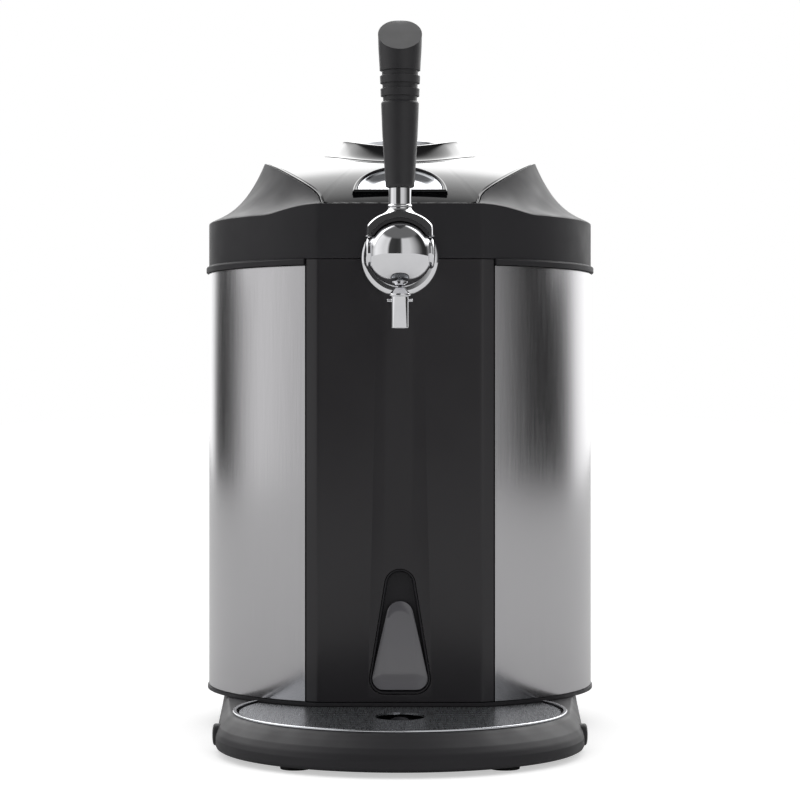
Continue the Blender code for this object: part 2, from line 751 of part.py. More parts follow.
def make_cooler(bore):
    """Cold block, thermoelectric module, finned sink and fan, stacked behind the well."""
    half = COLD_BLOCK_HALF
    low = COOLER_HEIGHT - half
    high = COOLER_HEIGHT + half
    cold = block("cold_block", (-half, bore / 2, low), (half, COLD_BLOCK_BACK, high), ALUMINIUM)
    reach = (0, 0, low - OVERRUN), (0, 0, high + OVERRUN)
    cut(cold, rod("cold_block_bore", *reach, bore, None, WELL_SIDES))
    y = COLD_BLOCK_BACK + GAP
    half = PELTIER_HALF
    block(
        "peltier_module",
        (-half, y, COOLER_HEIGHT - half),
        (half, y + PELTIER_THICKNESS, COOLER_HEIGHT + half),
        CERAMIC,
    )
    y += PELTIER_THICKNESS + GAP
    make_heat_sink(y)
    make_fan(y + SINK_BASE + SINK_FIN_DEPTH + GAP)


def make_heat_sink(front):
    root = front + SINK_BASE
    tip = root + SINK_FIN_DEPTH
    step = 2 * SINK_HALF / (SINK_FINS - 1 + SINK_FIN_SHARE)
    width = step * SINK_FIN_SHARE
    outline = [(-SINK_HALF, front), (SINK_HALF, front)]
    for fin in reversed(range(SINK_FINS)):
        left = -SINK_HALF + fin * step
        outline += [(left + width, root), (left + width, tip), (left, tip), (left, root)]
    clean = [p for i, p in enumerate(outline) if p != outline[i - 1]]
    plate("heat_sink", [clean], COOLER_HEIGHT - SINK_HALF, COOLER_HEIGHT + SINK_HALF, ALUMINIUM)


def fan_window(start):
    """One of the four openings between the fan's arms, from an angle in degrees."""
    outer = FAN_BORE - FAN_ARM / 2
    skip = math.degrees(FAN_ARM / 2 / FAN_HUB)
    outer_skip = math.degrees(FAN_ARM / 2 / outer)
    far = arc((0, 0), outer, start + outer_skip, start + 90 - outer_skip, 8)
    return far + arc((0, 0), FAN_HUB, start + 90 - skip, start + skip, 4)


def make_fan(front):
    """A square frame with a round duct, and four arms at its back that hold the motor."""
    back = front + FAN_DEPTH
    outline = rounded_box((-FAN_HALF, -FAN_HALF), (FAN_HALF, FAN_HALF), FAN_HALF - FAN_BORE)
    windows = [fan_window(45 + 90 * arm) for arm in range(4)]
    lift = Matrix.Translation((0, 0, COOLER_HEIGHT)) @ UPRIGHT
    frame = plate("fan_frame", [outline] + windows, -back, -front, SATIN_BLACK, lift)
    arm_front = back - FAN_ARM
    ends = (0, front - OVERRUN, COOLER_HEIGHT), (0, arm_front, COOLER_HEIGHT)
    duct = rod("fan_duct", *ends, FAN_BORE, None, 40)
    cut(frame, duct)
    make_fan_rotor(front + GAP, arm_front - GAP)


def make_fan_rotor(front, back):
    """The hub and its pitched blades, on an axis along Y."""
    hub = rod("fan_rotor", (0, front, 0), (0, back, 0), FAN_HUB, SATIN_BLACK, 20)
    middle = (front + back) / 2
    half_depth = (back - front) * FAN_BLADE_DEPTH_SHARE
    pitch = math.radians(FAN_BLADE_PITCH_DEGREES)
    half_chord = half_depth / math.sin(pitch)
    inner = FAN_HUB - FAN_ARM
    outer = FAN_BORE - FAN_TIP_GAP
    reach = math.sqrt(outer**2 - half_chord**2)
    half = FAN_BLADE_THICKNESS / 2
    for number in range(FAN_BLADES):
        blade = block(f"fan_blade_{number}", (inner, -half, -half_chord), (reach, half, half_chord))
        blade.data.transform(Matrix.Rotation(pitch, 4, "X"))
        blade.data.transform(Matrix.Rotation(2 * math.pi * number / FAN_BLADES, 4, "Y"))
        blade.location = (0, middle, COOLER_HEIGHT)
        join(hub, blade)
    hub.location = (0, 0, COOLER_HEIGHT)
    carry(pivot("fan_axle", (0, middle, COOLER_HEIGHT)), hub)


# Rear housing: the box behind the cabinet that holds the cooler, the supply and the gas
HOUSING_CORNER = 0.012
GRILLE_HALF = 0.042
GRILLE_CORNER = 0.004
GRILLE_SLOTS = 9
GRILLE_BORDER = 0.006
GRILLE_SLOT_SHARE = 0.5
DOOR_LEFT = 0.018
DOOR_RIGHT = 0.062
DOOR_BOTTOM = 0.196
DOOR_TOP = 0.292
DOOR_THICKNESS = 0.0022
DOOR_NOTCH_RADIUS = 0.006
INTAKE_SLOTS = 5
INTAKE_PITCH = 0.010
INTAKE_BOTTOM = 0.045
INTAKE_FRONT = 0.122
INTAKE_BACK = 0.142
INTAKE_WIDTH = 0.004


def make_rear_housing():
    wall = HOUSING_WALL
    half = HOUSING_HALF_WIDTH
    outline = rounded_box((-half, 0), (half, REAR_REACH), HOUSING_CORNER)
    housing = plate("rear_housing", [outline], WALL_BOTTOM, WALL_TOP, SATIN_BLACK)
    inner = rounded_box((-half + wall, wall), (half - wall, REAR_REACH - wall), HOUSING_CORNER - wall)
    cut(housing, plate("housing_inside", [inner], WALL_BOTTOM + wall, WALL_TOP - wall))
    reach = (0, 0, WALL_BOTTOM - OVERRUN), (0, 0, WALL_TOP + OVERRUN)
    cut(housing, rod("housing_fit", *reach, FRAME_RADIUS + GAP, None, LARGE_SIDES))
    inside = REAR_REACH - wall - OVERRUN
    outside = REAR_REACH + OVERRUN
    room = GRILLE_HALF + GAP
    low, high = (-room, COOLER_HEIGHT - room), (room, COOLER_HEIGHT + room)
    opening = rounded_box(low, high, GRILLE_CORNER)
    cut(housing, plate("grille_opening", [opening], -outside, -inside, None, UPRIGHT))
    low = (DOOR_LEFT - GAP, inside, DOOR_BOTTOM - GAP)
    cut(housing, block("door_opening", low, (DOOR_RIGHT + GAP, outside, DOOR_TOP + GAP)))
    for number in range(INTAKE_SLOTS):
        z = INTAKE_BOTTOM + number * INTAKE_PITCH
        low = (-half - OVERRUN, INTAKE_FRONT, z)
        high = (half + OVERRUN, INTAKE_BACK, z + INTAKE_WIDTH)
        cut(housing, block(f"intake_slot_{number}", low, high))
    make_grille()
    make_gas_pieces()
    make_supply(housing)


def make_grille():
    reach = GRILLE_HALF - GRILLE_BORDER
    pitch = 2 * reach / (GRILLE_SLOTS - 1)
    rows = [COOLER_HEIGHT - reach + i * pitch for i in range(GRILLE_SLOTS)]
    slots = [slot(-reach, reach, z, pitch * GRILLE_SLOT_SHARE) for z in rows]
    low = (-GRILLE_HALF, COOLER_HEIGHT - GRILLE_HALF)
    outline = rounded_box(low, (GRILLE_HALF, COOLER_HEIGHT + GRILLE_HALF), GRILLE_CORNER)
    high = GAP - REAR_REACH + HOUSING_WALL
    plate("rear_grille", [outline] + slots, -REAR_REACH, high, SATIN_BLACK, UPRIGHT)


GAS_X = 0.043
GAS_INSET = 0.018
GAS_Y = REAR_REACH - GAS_INSET
GAS_CUP_RADIUS = 0.013
GAS_CUP_WALL = 0.0017
GAS_CUP_BOTTOM = 0.190
GAS_CUP_TOP = 0.272
REGULATOR_HALF = 0.012
REGULATOR_HEIGHT = 0.0215
REGULATOR_ROUND = 0.002
PRESSURE_KNOB_RADIUS = 0.0085
PRESSURE_KNOB_LENGTH = 0.007
PRESSURE_KNOB_GRIP = 0.0012


def make_gas_pieces():
    """Regulator, the cup that holds a gas cartridge against it, the knob and the door."""
    cup = (
        (GAS_CUP_RADIUS - GAS_CUP_WALL, GAS_CUP_BOTTOM + GAS_CUP_WALL),
        (GAS_CUP_RADIUS - GAS_CUP_WALL, GAS_CUP_TOP),
        (GAS_CUP_RADIUS, GAS_CUP_TOP),
        (GAS_CUP_RADIUS, GAS_CUP_BOTTOM),
        (0, GAS_CUP_BOTTOM),
    )
    profile = ((0, GAS_CUP_BOTTOM + GAS_CUP_WALL),) + cup
    holder = turned("gas_cup", profile, ALUMINIUM, 20, place=(GAS_X, GAS_Y, 0))
    carry(pivot("gas_cup_axis", (GAS_X, GAS_Y, GAS_CUP_TOP)), holder)
    low = GAS_CUP_TOP + GAP
    high = low + REGULATOR_HEIGHT
    half = REGULATOR_HALF
    corners = (GAS_X - half, GAS_Y - half, low), (GAS_X + half, GAS_Y + half, high)
    regulator = block("gas_regulator", *corners, SILVER, REGULATOR_ROUND)
    stud_bottom = WALL_TOP - HOUSING_WALL - GAP
    stud = rod("regulator_stud", (GAS_X, GAS_Y, high - GAP), (GAS_X, GAS_Y, stud_bottom), half / 2, None, 16)
    join(regulator, stud)
    knob_z = (low + high) / 2
    knob_x = GAS_X - half - GAP
    grip = PRESSURE_KNOB_GRIP
    length = PRESSURE_KNOB_LENGTH
    knob_profile = (
        (0, length),
        (PRESSURE_KNOB_RADIUS - grip, length),
        (PRESSURE_KNOB_RADIUS, length - grip),
        (PRESSURE_KNOB_RADIUS, grip),
        (PRESSURE_KNOB_RADIUS - grip, 0),
        (0, 0),
    )
    place = (knob_x, GAS_Y, knob_z)
    knob = turned("pressure_knob", knob_profile, HANDLE_BLACK, 16, place=place, axis="-X")
    carry(pivot("pressure_knob_axis", place), knob)
    make_gas_door()


def make_gas_door():
    """A drop-down door whose lower edge is rounded about its hinge line."""
    half = DOOR_THICKNESS / 2
    y = REAR_REACH - half
    axis_z = DOOR_BOTTOM + half
    door = block("gas_door", (DOOR_LEFT, y - half, axis_z), (DOOR_RIGHT, y + half, DOOR_TOP), SATIN_BLACK)
    join(door, rod("door_edge", (DOOR_LEFT, y, axis_z), (DOOR_RIGHT, y, axis_z), half, None, 16))
    middle = (DOOR_LEFT + DOOR_RIGHT) / 2
    top = (middle, y, DOOR_TOP)
    out = (middle, y + DOOR_THICKNESS, DOOR_TOP)
    cut(door, rod("door_notch", top, out, DOOR_NOTCH_RADIUS, None, 20))
    carry(pivot("gas_door_hinge", (middle, y, axis_z)), door)


INLET_X = -0.034
INLET_Z = 0.052
INLET_HALF_WIDTH = 0.0138
INLET_HALF_HEIGHT = 0.0100
INLET_DEPTH = 0.018
INLET_WALL = 0.0022
INLET_CAVITY = 0.014
PIN_HALF_WIDTH = 0.0010
PIN_HALF_HEIGHT = 0.0020
PIN_LENGTH = 0.010
PIN_SPREAD = 0.0068
PIN_RISE = 0.0028
SWITCH_X = 0.034
SWITCH_Z = 0.052
SWITCH_HALF_WIDTH = 0.0075
SWITCH_HALF_HEIGHT = 0.0105
SWITCH_FRAME_WALL = 0.0016
SWITCH_DEPTH = 0.014
SWITCH_SHAFT_DEPTH = 0.0022
SWITCH_ANGLE_DEGREES = 9
BOARD_HALF_WIDTH = 0.038
BOARD_HEIGHT = 0.058
BOARD_THICKNESS = 0.0016
BOARD_INSET = 0.0245
BOARD_Y = REAR_REACH - BOARD_INSET
TRANSFORMER_HALF = 0.011
TRANSFORMER_DEPTH = 0.008
CAPACITOR_RADIUS = 0.005
CAPACITOR_X = 0.024


def make_supply(housing):
    """Mains inlet, rocker switch and the supply board, low in the rear housing."""
    x0, x1 = INLET_X - INLET_HALF_WIDTH, INLET_X + INLET_HALF_WIDTH
    z0, z1 = INLET_Z - INLET_HALF_HEIGHT, INLET_Z + INLET_HALF_HEIGHT
    back = REAR_REACH + INLET_PROUD
    room_low = (x0 - GAP, REAR_REACH - INLET_DEPTH, z0 - GAP)
    cut(housing, block("inlet_opening", room_low, (x1 + GAP, back + OVERRUN, z1 + GAP)))
    inlet = block("power_inlet", (x0, back - INLET_DEPTH, z0), (x1, back, z1), GLOSS_BLACK)
    wall = INLET_WALL
    low = (x0 + wall, back - INLET_CAVITY, z0 + wall)
    cut(inlet, block("inlet_cavity", low, (x1 - wall, back + OVERRUN, z1 - wall)))
    for number, (dx, dz) in enumerate(((-PIN_SPREAD, -PIN_RISE), (PIN_SPREAD, -PIN_RISE), (0, PIN_RISE))):
        x, z = INLET_X + dx, INLET_Z + dz
        low = (x - PIN_HALF_WIDTH, back - INLET_CAVITY - wall / 2, z - PIN_HALF_HEIGHT)
        high = (x + PIN_HALF_WIDTH, back - INLET_CAVITY + PIN_LENGTH, z + PIN_HALF_HEIGHT)
        join(inlet, block(f"inlet_pin_{number}", low, high))
    make_switch(housing)
    low = WALL_BOTTOM + HOUSING_WALL + GAP
    high = low + BOARD_HEIGHT
    half = BOARD_HALF_WIDTH
    board = block("power_board", (-half, BOARD_Y, low), (half, BOARD_Y + BOARD_THICKNESS, high), BOARD)
    face = BOARD_Y + BOARD_THICKNESS / 2
    t = TRANSFORMER_HALF
    middle = (low + high) / 2
    core = block("transformer", (-t, face, middle - t), (t, face + TRANSFORMER_DEPTH, middle + t))
    far = face + TRANSFORMER_DEPTH
    ends = (CAPACITOR_X, face, high - t), (CAPACITOR_X, far, high - t)
    can = rod("capacitor", *ends, CAPACITOR_RADIUS, None, 16)
    join(board, core, can)


def make_switch(housing):
    x0, x1 = SWITCH_X - SWITCH_HALF_WIDTH, SWITCH_X + SWITCH_HALF_WIDTH
    z0, z1 = SWITCH_Z - SWITCH_HALF_HEIGHT, SWITCH_Z + SWITCH_HALF_HEIGHT
    back = REAR_REACH + INLET_PROUD
    front = back - SWITCH_DEPTH
    low, high = (x0 - GAP, front, z0 - GAP), (x1 + GAP, back + OVERRUN, z1 + GAP)
    cut(housing, block("switch_opening", low, high))
    frame = block("switch_frame", (x0, front, z0), (x1, back, z1), GLOSS_BLACK)
    wall = SWITCH_FRAME_WALL
    low = (x0 + wall, front + wall, z0 + wall)
    cut(frame, block("switch_cavity", low, (x1 - wall, back + OVERRUN, z1 - wall)))
    axis_y = back - SWITCH_SHAFT_DEPTH
    reach = z1 - wall - SLIDE_GAP - SWITCH_Z
    half = x1 - wall - GAP - SWITCH_X
    tilt = math.radians(SWITCH_ANGLE_DEGREES)
    face = reach * math.tan(tilt)
    depth = SWITCH_SHAFT_DEPTH * 2
    foot = reach * math.cos(tilt)
    outline = [(-reach, face), (0, 0), (reach, face), (foot, -depth), (-foot, -depth)]
    turn = Matrix.Translation((SWITCH_X, axis_y, SWITCH_Z)) @ Matrix(
        ((0, 0, 1, 0), (0, 1, 0, 0), (-1, 0, 0, 0), (0, 0, 0, 1))
    ) @ Matrix.Rotation(-tilt, 4, "Z")
    rocker = plate("power_switch", [outline[::-1]], -half, half, HANDLE_BLACK, turn)
    carry(pivot("power_switch_axis", (SWITCH_X, axis_y, SWITCH_Z)), rocker)


# Collar: the hood round the top, with two horns that rise beside the lid
COLLAR_RIM = 0.0012
COLLAR_SKIN = 0.0026
HORN_LINEAR_SHARE = 0.4
LEDGE_TOP = 0.3295
LEDGE_BOTTOM = 0.3280
LID_REAR_Y = 0.104
HINGE_Y = 0.1105
HINGE_HEIGHT = 0.3455
HINGE_POCKET_HALF = 0.038
HINGE_POCKET_FLOOR = 0.3380
HINGE_POCKET_REAR = 0.1185
HOSE_RADIUS = 0.0032
HOSE_Y = -0.1035
RIDGE_STEPS = 40


def vault(x, y):
    """Height of the lid's arched top, which ends in a level strip at the front."""
    front = (LID_CROWN - LID_FRONT_EDGE) * (y / LID_BEND_Y) ** 2
    side = LID_SIDE_DROP * (x / HORN_PEAK_RADIUS) ** 2
    return max(LID_CROWN - front - side, LID_FRONT_EDGE)


def slope(share):
    """The hollow rise of the horns, from 0 at the collar's wall to 1 at the ridge."""
    return HORN_LINEAR_SHARE * share + (1 - HORN_LINEAR_SHARE) * share**3


def flare(radius):
    """Height of the turned slope that the lid's arch cuts off at the ridge."""
    share = max(BODY_RADIUS - radius, 0) / (BODY_RADIUS - HORN_PEAK_RADIUS)
    return COLLAR_TOP + (vault(HORN_PEAK_RADIUS, 0) - COLLAR_TOP) * slope(share)


def directions():
    """Unit ways round the machine, from the front, with two on the panel's corners."""
    corner = math.atan2(FRONT_CORNER_X, FRONT_FLAT)
    step = 2 * math.pi / WAY_COUNT
    angles = [i * step - math.pi for i in range(WAY_COUNT)]
    near = round(corner / step)
    angles = [math.copysign(corner, a) if round(abs(a) / step) == near else a for a in angles]
    return [(math.sin(a), -math.cos(a)) for a in angles]


WAYS = directions()


def outer_radius(way, radius=BODY_RADIUS):
    """The cabinet's outline along a way, with its flat front."""
    if way[1] < 0:
        return min(radius, FRONT_FLAT / -way[1])
    return radius


def wall_top(way):
    """Height of the collar's outer edge, which lifts towards the front corners."""
    y = -way[1] * outer_radius(way)
    share = min(max((y - COLLAR_RISE_Y) / (FRONT_FLAT - COLLAR_RISE_Y), 0), 1)
    return COLLAR_TOP + (LID_FRONT_EDGE - COLLAR_TOP) * share**2 * (3 - 2 * share)


def ridge_radius(way):
    """Where the slope of the collar meets the arch of the lid, along a way."""
    far = outer_radius(way) - COLLAR_RIM
    if way[1] > 0:
        far = min(far, LID_REAR_Y / way[1])
    low, high = HORN_PEAK_RADIUS * (1 - HORN_LINEAR_SHARE), far
    if flare(far) >= vault(way[0] * far, way[1] * far):
        return far
    for _ in range(RIDGE_STEPS):
        middle = (low + high) / 2
        if flare(middle) > vault(way[0] * middle, way[1] * middle):
            low = middle
        else:
            high = middle
    return (low + high) / 2


RIDGES = [ridge_radius(way) for way in WAYS]


def ring_at(radii, height):
    """A level ring with its own radius on each way."""
    return [(way[0] * radius, way[1] * radius, height) for way, radius in zip(WAYS, radii)]


def lowered(radii, drop):
    """A ring that lies a drop under the lid's arch."""
    return [(x, y, vault(x, y) - drop) for x, y, _ in ring_at(radii, 0)]


def ring_below(edges, radii, drop):
    """A ring with its own radii, a drop under the arch's edge on each way."""
    heights = [point[2] for point in lowered(edges, drop)]
    return [(x, y, z) for (x, y, _), z in zip(ring_at(radii, 0), heights)]


def slope_ring(share):
    """A ring on the collar's slope, at a share of the way from its outer edge to the ridge."""
    ring = []
    for way, ridge in zip(WAYS, RIDGES):
        wall = outer_radius(way)
        radius = wall + (ridge - wall) * share
        edge = wall_top(way)
        height = edge + (vault(way[0] * ridge, way[1] * ridge) - edge) * slope(share)
        ring.append((way[0] * radius, way[1] * radius, height))
    return ring


SLOPE_SHARES = (0.0, 0.26, 0.5, 0.76, 1.0)


def make_collar():
    walls = [outer_radius(way) for way in WAYS]
    lips = [outer_radius(way, BODY_RADIUS + COLLAR_LIP) for way in WAYS]
    inner_wall = [radius - COLLAR_SKIN for radius in walls]
    opening = [KEG_WELL_RADIUS + KEG_WELL_WALL] * len(WAYS)
    inner = [ridge - COLLAR_RIM for ridge in RIDGES]
    lip_top = SEAM_HEIGHT + COLLAR_LIP_HEIGHT
    rings = [
        ring_at(lips, SEAM_HEIGHT),
        ring_at(lips, lip_top - COLLAR_LIP / 2),
        ring_at(walls, lip_top),
    ]
    rings += [slope_ring(share) for share in SLOPE_SHARES]
    rings += [
        lowered(inner, COLLAR_RIM),
        ring_at(inner, LEDGE_TOP),
        ring_at(opening, LEDGE_TOP),
        ring_at(opening, LEDGE_BOTTOM),
        ring_at(inner_wall, LEDGE_BOTTOM),
        ring_at(inner_wall, SEAM_HEIGHT),
    ]
    collar = loft("collar", rings, SATIN_BLACK, closed=True)
    edge = PANEL_HALF_WIDTH + PANEL_GROOVE
    low = (-edge, -BODY_RADIUS - OVERRUN, SEAM_HEIGHT - OVERRUN)
    cut(collar, block("collar_front_notch", low, (edge, -INSULATION_FRONT, FRONT_SEAM_HEIGHT)))
    half = HINGE_POCKET_HALF
    low = (-half, LID_REAR_Y - COLLAR_SKIN * 2, HINGE_POCKET_FLOOR)
    cut(collar, block("hinge_pocket", low, (half, HINGE_POCKET_REAR, LID_CROWN)))
    reach = (0, HOSE_Y, SEAM_HEIGHT), (0, HOSE_Y, LEDGE_TOP + OVERRUN)
    cut(collar, rod("hose_hole", *reach, HOSE_RADIUS + 2 * GAP, None, 16))
    reach = (0, -FRONT_FLAT - OVERRUN, TAP_HEIGHT), (0, -FRONT_FLAT + COLLAR_SKIN + OVERRUN, TAP_HEIGHT)
    cut(collar, rod("collar_shank_hole", *reach, SHANK_RADIUS + GAP, None, SMALL_SIDES))


# Lid: an arched shell with a foam liner, a rubber seal and two hinge knuckles
LID_GAP = 0.0006
LID_THICKNESS = 0.003
LID_SKIRT = 0.008
LID_SKIRT_TAPER = 0.002
KNUCKLE_RADIUS = 0.0045
KNUCKLE_INNER = 0.0188
KNUCKLE_OUTER = 0.034
HINGE_PIN_RADIUS = 0.002
HINGE_PIN_OVERHANG = 0.0015
TONGUE_THICKNESS = 0.005
TONGUE_ROOT = 0.006
LINER_RADIUS = 0.080
LINER_BOTTOM = 0.345
SEAL_OUTER = 0.0868
SEAL_HEIGHT = 0.004
DIAL_BASE_RADIUS = 0.052
DIAL_TOP_RADIUS = 0.0393
DIAL_TOP = 0.394
DIAL_TOP_DROP = 0.0066
DIAL_RIM = 0.0038
DIAL_FLOOR = 0.3872
DIAL_WAIST_SHARES = ((0.93, 0.12), (0.84, 0.4), (0.775, 0.8), (0.756, 1.0))
DIAL_RING_OUTER = 0.0315
DIAL_RING_INNER = 0.0200
DIAL_RING_TOP = 0.3922
DIAL_RING_ROUND = 0.0009
DIAL_BUTTON_RADIUS = 0.0195
DIAL_BUTTON_TOP = 0.3938
DIAL_BUTTON_TRAVEL = 0.0015
GRIP_FRONT_Y = -0.0985
GRIP_BACK_Y = -0.0655
GRIP_HALF_WIDTH = 0.0307
GRIP_WALL = 0.0030
GRIP_PROUD = 0.0026
GRIP_DEPTH = 0.0060
GRIP_INSERT_DROP = 0.0012


def lid_rings(edges, drop):
    """Rings of the arch from its crown outwards. The dial and the liner share their radii."""
    count = len(WAYS)
    rings = [lowered([radius] * count, drop) for radius in (DIAL_BASE_RADIUS, LINER_RADIUS)]
    return [[(0, 0, vault(0, 0) - drop)]] + rings + ([lowered(edges, drop)] if edges else [])


def make_lid():
    edges = [ridge - COLLAR_RIM - LID_GAP for ridge in RIDGES]
    inner = [edge - LID_THICKNESS for edge in edges]
    foot = [edge - LID_SKIRT_TAPER for edge in edges]
    rings = lid_rings(edges, 0)
    rings.append(ring_below(edges, foot, LID_SKIRT))
    rings.append(ring_below(edges, [radius - LID_THICKNESS for radius in foot], LID_SKIRT))
    rings += lid_rings(inner, LID_THICKNESS)[::-1]
    lid = loft("lid_shell", rings, GLOSS_BLACK)
    for side, way in (("left", -1), ("right", 1)):
        x0, x1 = sorted((way * KNUCKLE_INNER, way * KNUCKLE_OUTER))
        low = (x0, LID_REAR_Y - TONGUE_ROOT, HINGE_HEIGHT - TONGUE_THICKNESS / 2)
        tongue = block(f"lid_tongue_{side}", low, (x1, HINGE_Y, HINGE_HEIGHT + TONGUE_THICKNESS / 2))
        knuckle = rod(
            f"lid_knuckle_{side}", (x0, HINGE_Y, HINGE_HEIGHT), (x1, HINGE_Y, HINGE_HEIGHT), KNUCKLE_RADIUS,
            None, 20,
        )
        join(lid, tongue, knuckle)
    bore_end = KNUCKLE_OUTER + OVERRUN
    bore = rod(
        "lid_hinge_bore", (-bore_end, HINGE_Y, HINGE_HEIGHT), (bore_end, HINGE_Y, HINGE_HEIGHT),
        HINGE_PIN_RADIUS + GAP, None, 16,
    )
    cut(lid, bore)
    hinge = pivot("lid_hinge", (0, HINGE_Y, HINGE_HEIGHT))
    grip = make_grip(lid)
    dial = make_dial_bezel()
    liner = make_liner()
    cut(liner[0], bpy.data.objects["grip_opening"])
    carry(hinge, lid, *grip, dial, *liner)
    make_dial(hinge)
    make_hinge(bore)


def make_liner():
    """The foam plug under the lid and the rubber ring round it."""
    radii = [LINER_RADIUS] * len(WAYS)
    rings = lid_rings(None, LID_THICKNESS + 2 * GAP)
    rings += [ring_at(radii, LINER_BOTTOM), [(0, 0, LINER_BOTTOM)]]
    liner = loft("lid_liner", rings, FOAM)
    low = LINER_BOTTOM
    high = low + SEAL_HEIGHT
    inner = LINER_RADIUS + 2 * GAP
    half = (SEAL_OUTER - inner) / 2
    profile = (
        (inner + half, high), (SEAL_OUTER, high - half / 2),
        (SEAL_OUTER - half / 2, low), (inner, low), (inner, high),
    )
    seal = turned("lid_seal", profile, RUBBER, 36, True)
    return liner, seal


def grip_outline(inset):
    """A half moon: a straight front edge and a round back, in the plane of the lid's slope."""
    length = math.hypot(GRIP_BACK_Y - GRIP_FRONT_Y, vault(0, GRIP_BACK_Y) - vault(0, GRIP_FRONT_Y))
    points = arc((0, 0), 1, 0, 180, 20)
    wide, deep = GRIP_HALF_WIDTH - inset, length - 2 * inset
    return [(wide * x, deep * y - length / 2 + inset) for x, y in points]


def make_grip(lid):
    """The lid's grip: a black half moon frame round a bright plate, set in the slope."""
    y = (GRIP_BACK_Y + GRIP_FRONT_Y) / 2
    rise = vault(0, GRIP_BACK_Y) - vault(0, GRIP_FRONT_Y)
    tilt = math.atan2(rise, GRIP_BACK_Y - GRIP_FRONT_Y)
    chord = (vault(0, GRIP_BACK_Y) + vault(0, GRIP_FRONT_Y)) / 2
    lie = Matrix.Translation((0, y, chord)) @ Matrix.Rotation(tilt, 4, "X")
    low = GRIP_PROUD - GRIP_DEPTH
    cut(lid, plate("grip_opening", [grip_outline(0)], low - OVERRUN, OVERRUN, None, lie))
    outlines = [grip_outline(GAP), grip_outline(GRIP_WALL)]
    bezel = plate("grip_bezel", outlines, low, GRIP_PROUD, GLOSS_BLACK, lie)
    outlines = [grip_outline(GRIP_WALL + GAP)]
    insert = plate("grip_insert", outlines, low, GRIP_PROUD - GRIP_INSERT_DROP, SILVER, lie)
    return bezel, insert


def dial_top(x, y):
    """The dial housing's rim follows the lid: it dips to the front and the back."""
    return DIAL_TOP - DIAL_TOP_DROP * (y / DIAL_TOP_RADIUS) ** 2


def bezel_ring(radius, blend):
    """A ring that lies between the lid, at blend 0, and the rim's surface, at blend 1."""
    ring = []
    for x, y in WAYS:
        x, y = x * radius, y * radius
        base = vault(x, y) + GAP
        ring.append((x, y, base + (dial_top(x, y) - base) * blend))
    return ring


def make_dial_bezel():
    """The round housing on the lid's crown: hollow sides, a rim and a flat sunk floor."""
    rings = [[(0, 0, vault(0, 0) + GAP)], bezel_ring(DIAL_BASE_RADIUS, 0)]
    for radius_share, height_share in DIAL_WAIST_SHARES:
        rings.append(bezel_ring(DIAL_BASE_RADIUS * radius_share, height_share))
    inner = DIAL_TOP_RADIUS - DIAL_RIM
    rings.append(bezel_ring(inner, 1))
    rings.append([(way[0] * (inner - GAP), way[1] * (inner - GAP), DIAL_FLOOR) for way in WAYS])
    rings.append([(0, 0, DIAL_FLOOR)])
    return loft("dial_bezel", rings, GLOSS_BLACK)


def make_dial(hinge):
    """The silver ring that turns and the button in its middle."""
    low = DIAL_FLOOR + GAP
    high = DIAL_RING_TOP
    ease = DIAL_RING_ROUND
    profile = (
        (DIAL_RING_INNER, high), (DIAL_RING_OUTER - ease, high), (DIAL_RING_OUTER, high - ease),
        (DIAL_RING_OUTER, low), (DIAL_RING_INNER, low),
    )
    ring = turned("dial_ring", profile, SILVER, 36, True)
    axis = pivot("dial_axis", (0, 0, low), hinge)
    carry(axis, ring)
    seat = DIAL_FLOOR + GAP + DIAL_BUTTON_TRAVEL
    top = DIAL_BUTTON_TOP
    profile = (
        (0, top), (DIAL_BUTTON_RADIUS - 2 * ease, top), (DIAL_BUTTON_RADIUS, top - ease),
        (DIAL_BUTTON_RADIUS, seat), (0, seat),
    )
    button = turned("dial_button", profile, SILVER, 40)
    guide = pivot("dial_button_guide", (0, 0, seat), hinge)
    carry(guide, button)


BRACKET_HALF_WIDTH = 0.0182
BRACKET_HALF_DEPTH = 0.0040


def make_hinge(bore):
    """The block between the lid's knuckles, screwed to the collar, and the steel pin."""
    half = BRACKET_HALF_WIDTH
    low = (-half, HINGE_Y - BRACKET_HALF_DEPTH, HINGE_POCKET_FLOOR + GAP)
    bracket = block("hinge_bracket", low, (half, HINGE_Y + BRACKET_HALF_DEPTH, HINGE_HEIGHT), SATIN_BLACK)
    ends = (-half, HINGE_Y, HINGE_HEIGHT), (half, HINGE_Y, HINGE_HEIGHT)
    join(bracket, rod("bracket_barrel", *ends, KNUCKLE_RADIUS, None, 20))
    cut(bracket, bore)
    reach = KNUCKLE_OUTER + HINGE_PIN_OVERHANG
    ends = (-reach, HINGE_Y, HINGE_HEIGHT), (reach, HINGE_Y, HINGE_HEIGHT)
    rod("hinge_pin", *ends, HINGE_PIN_RADIUS, STEEL, 16)


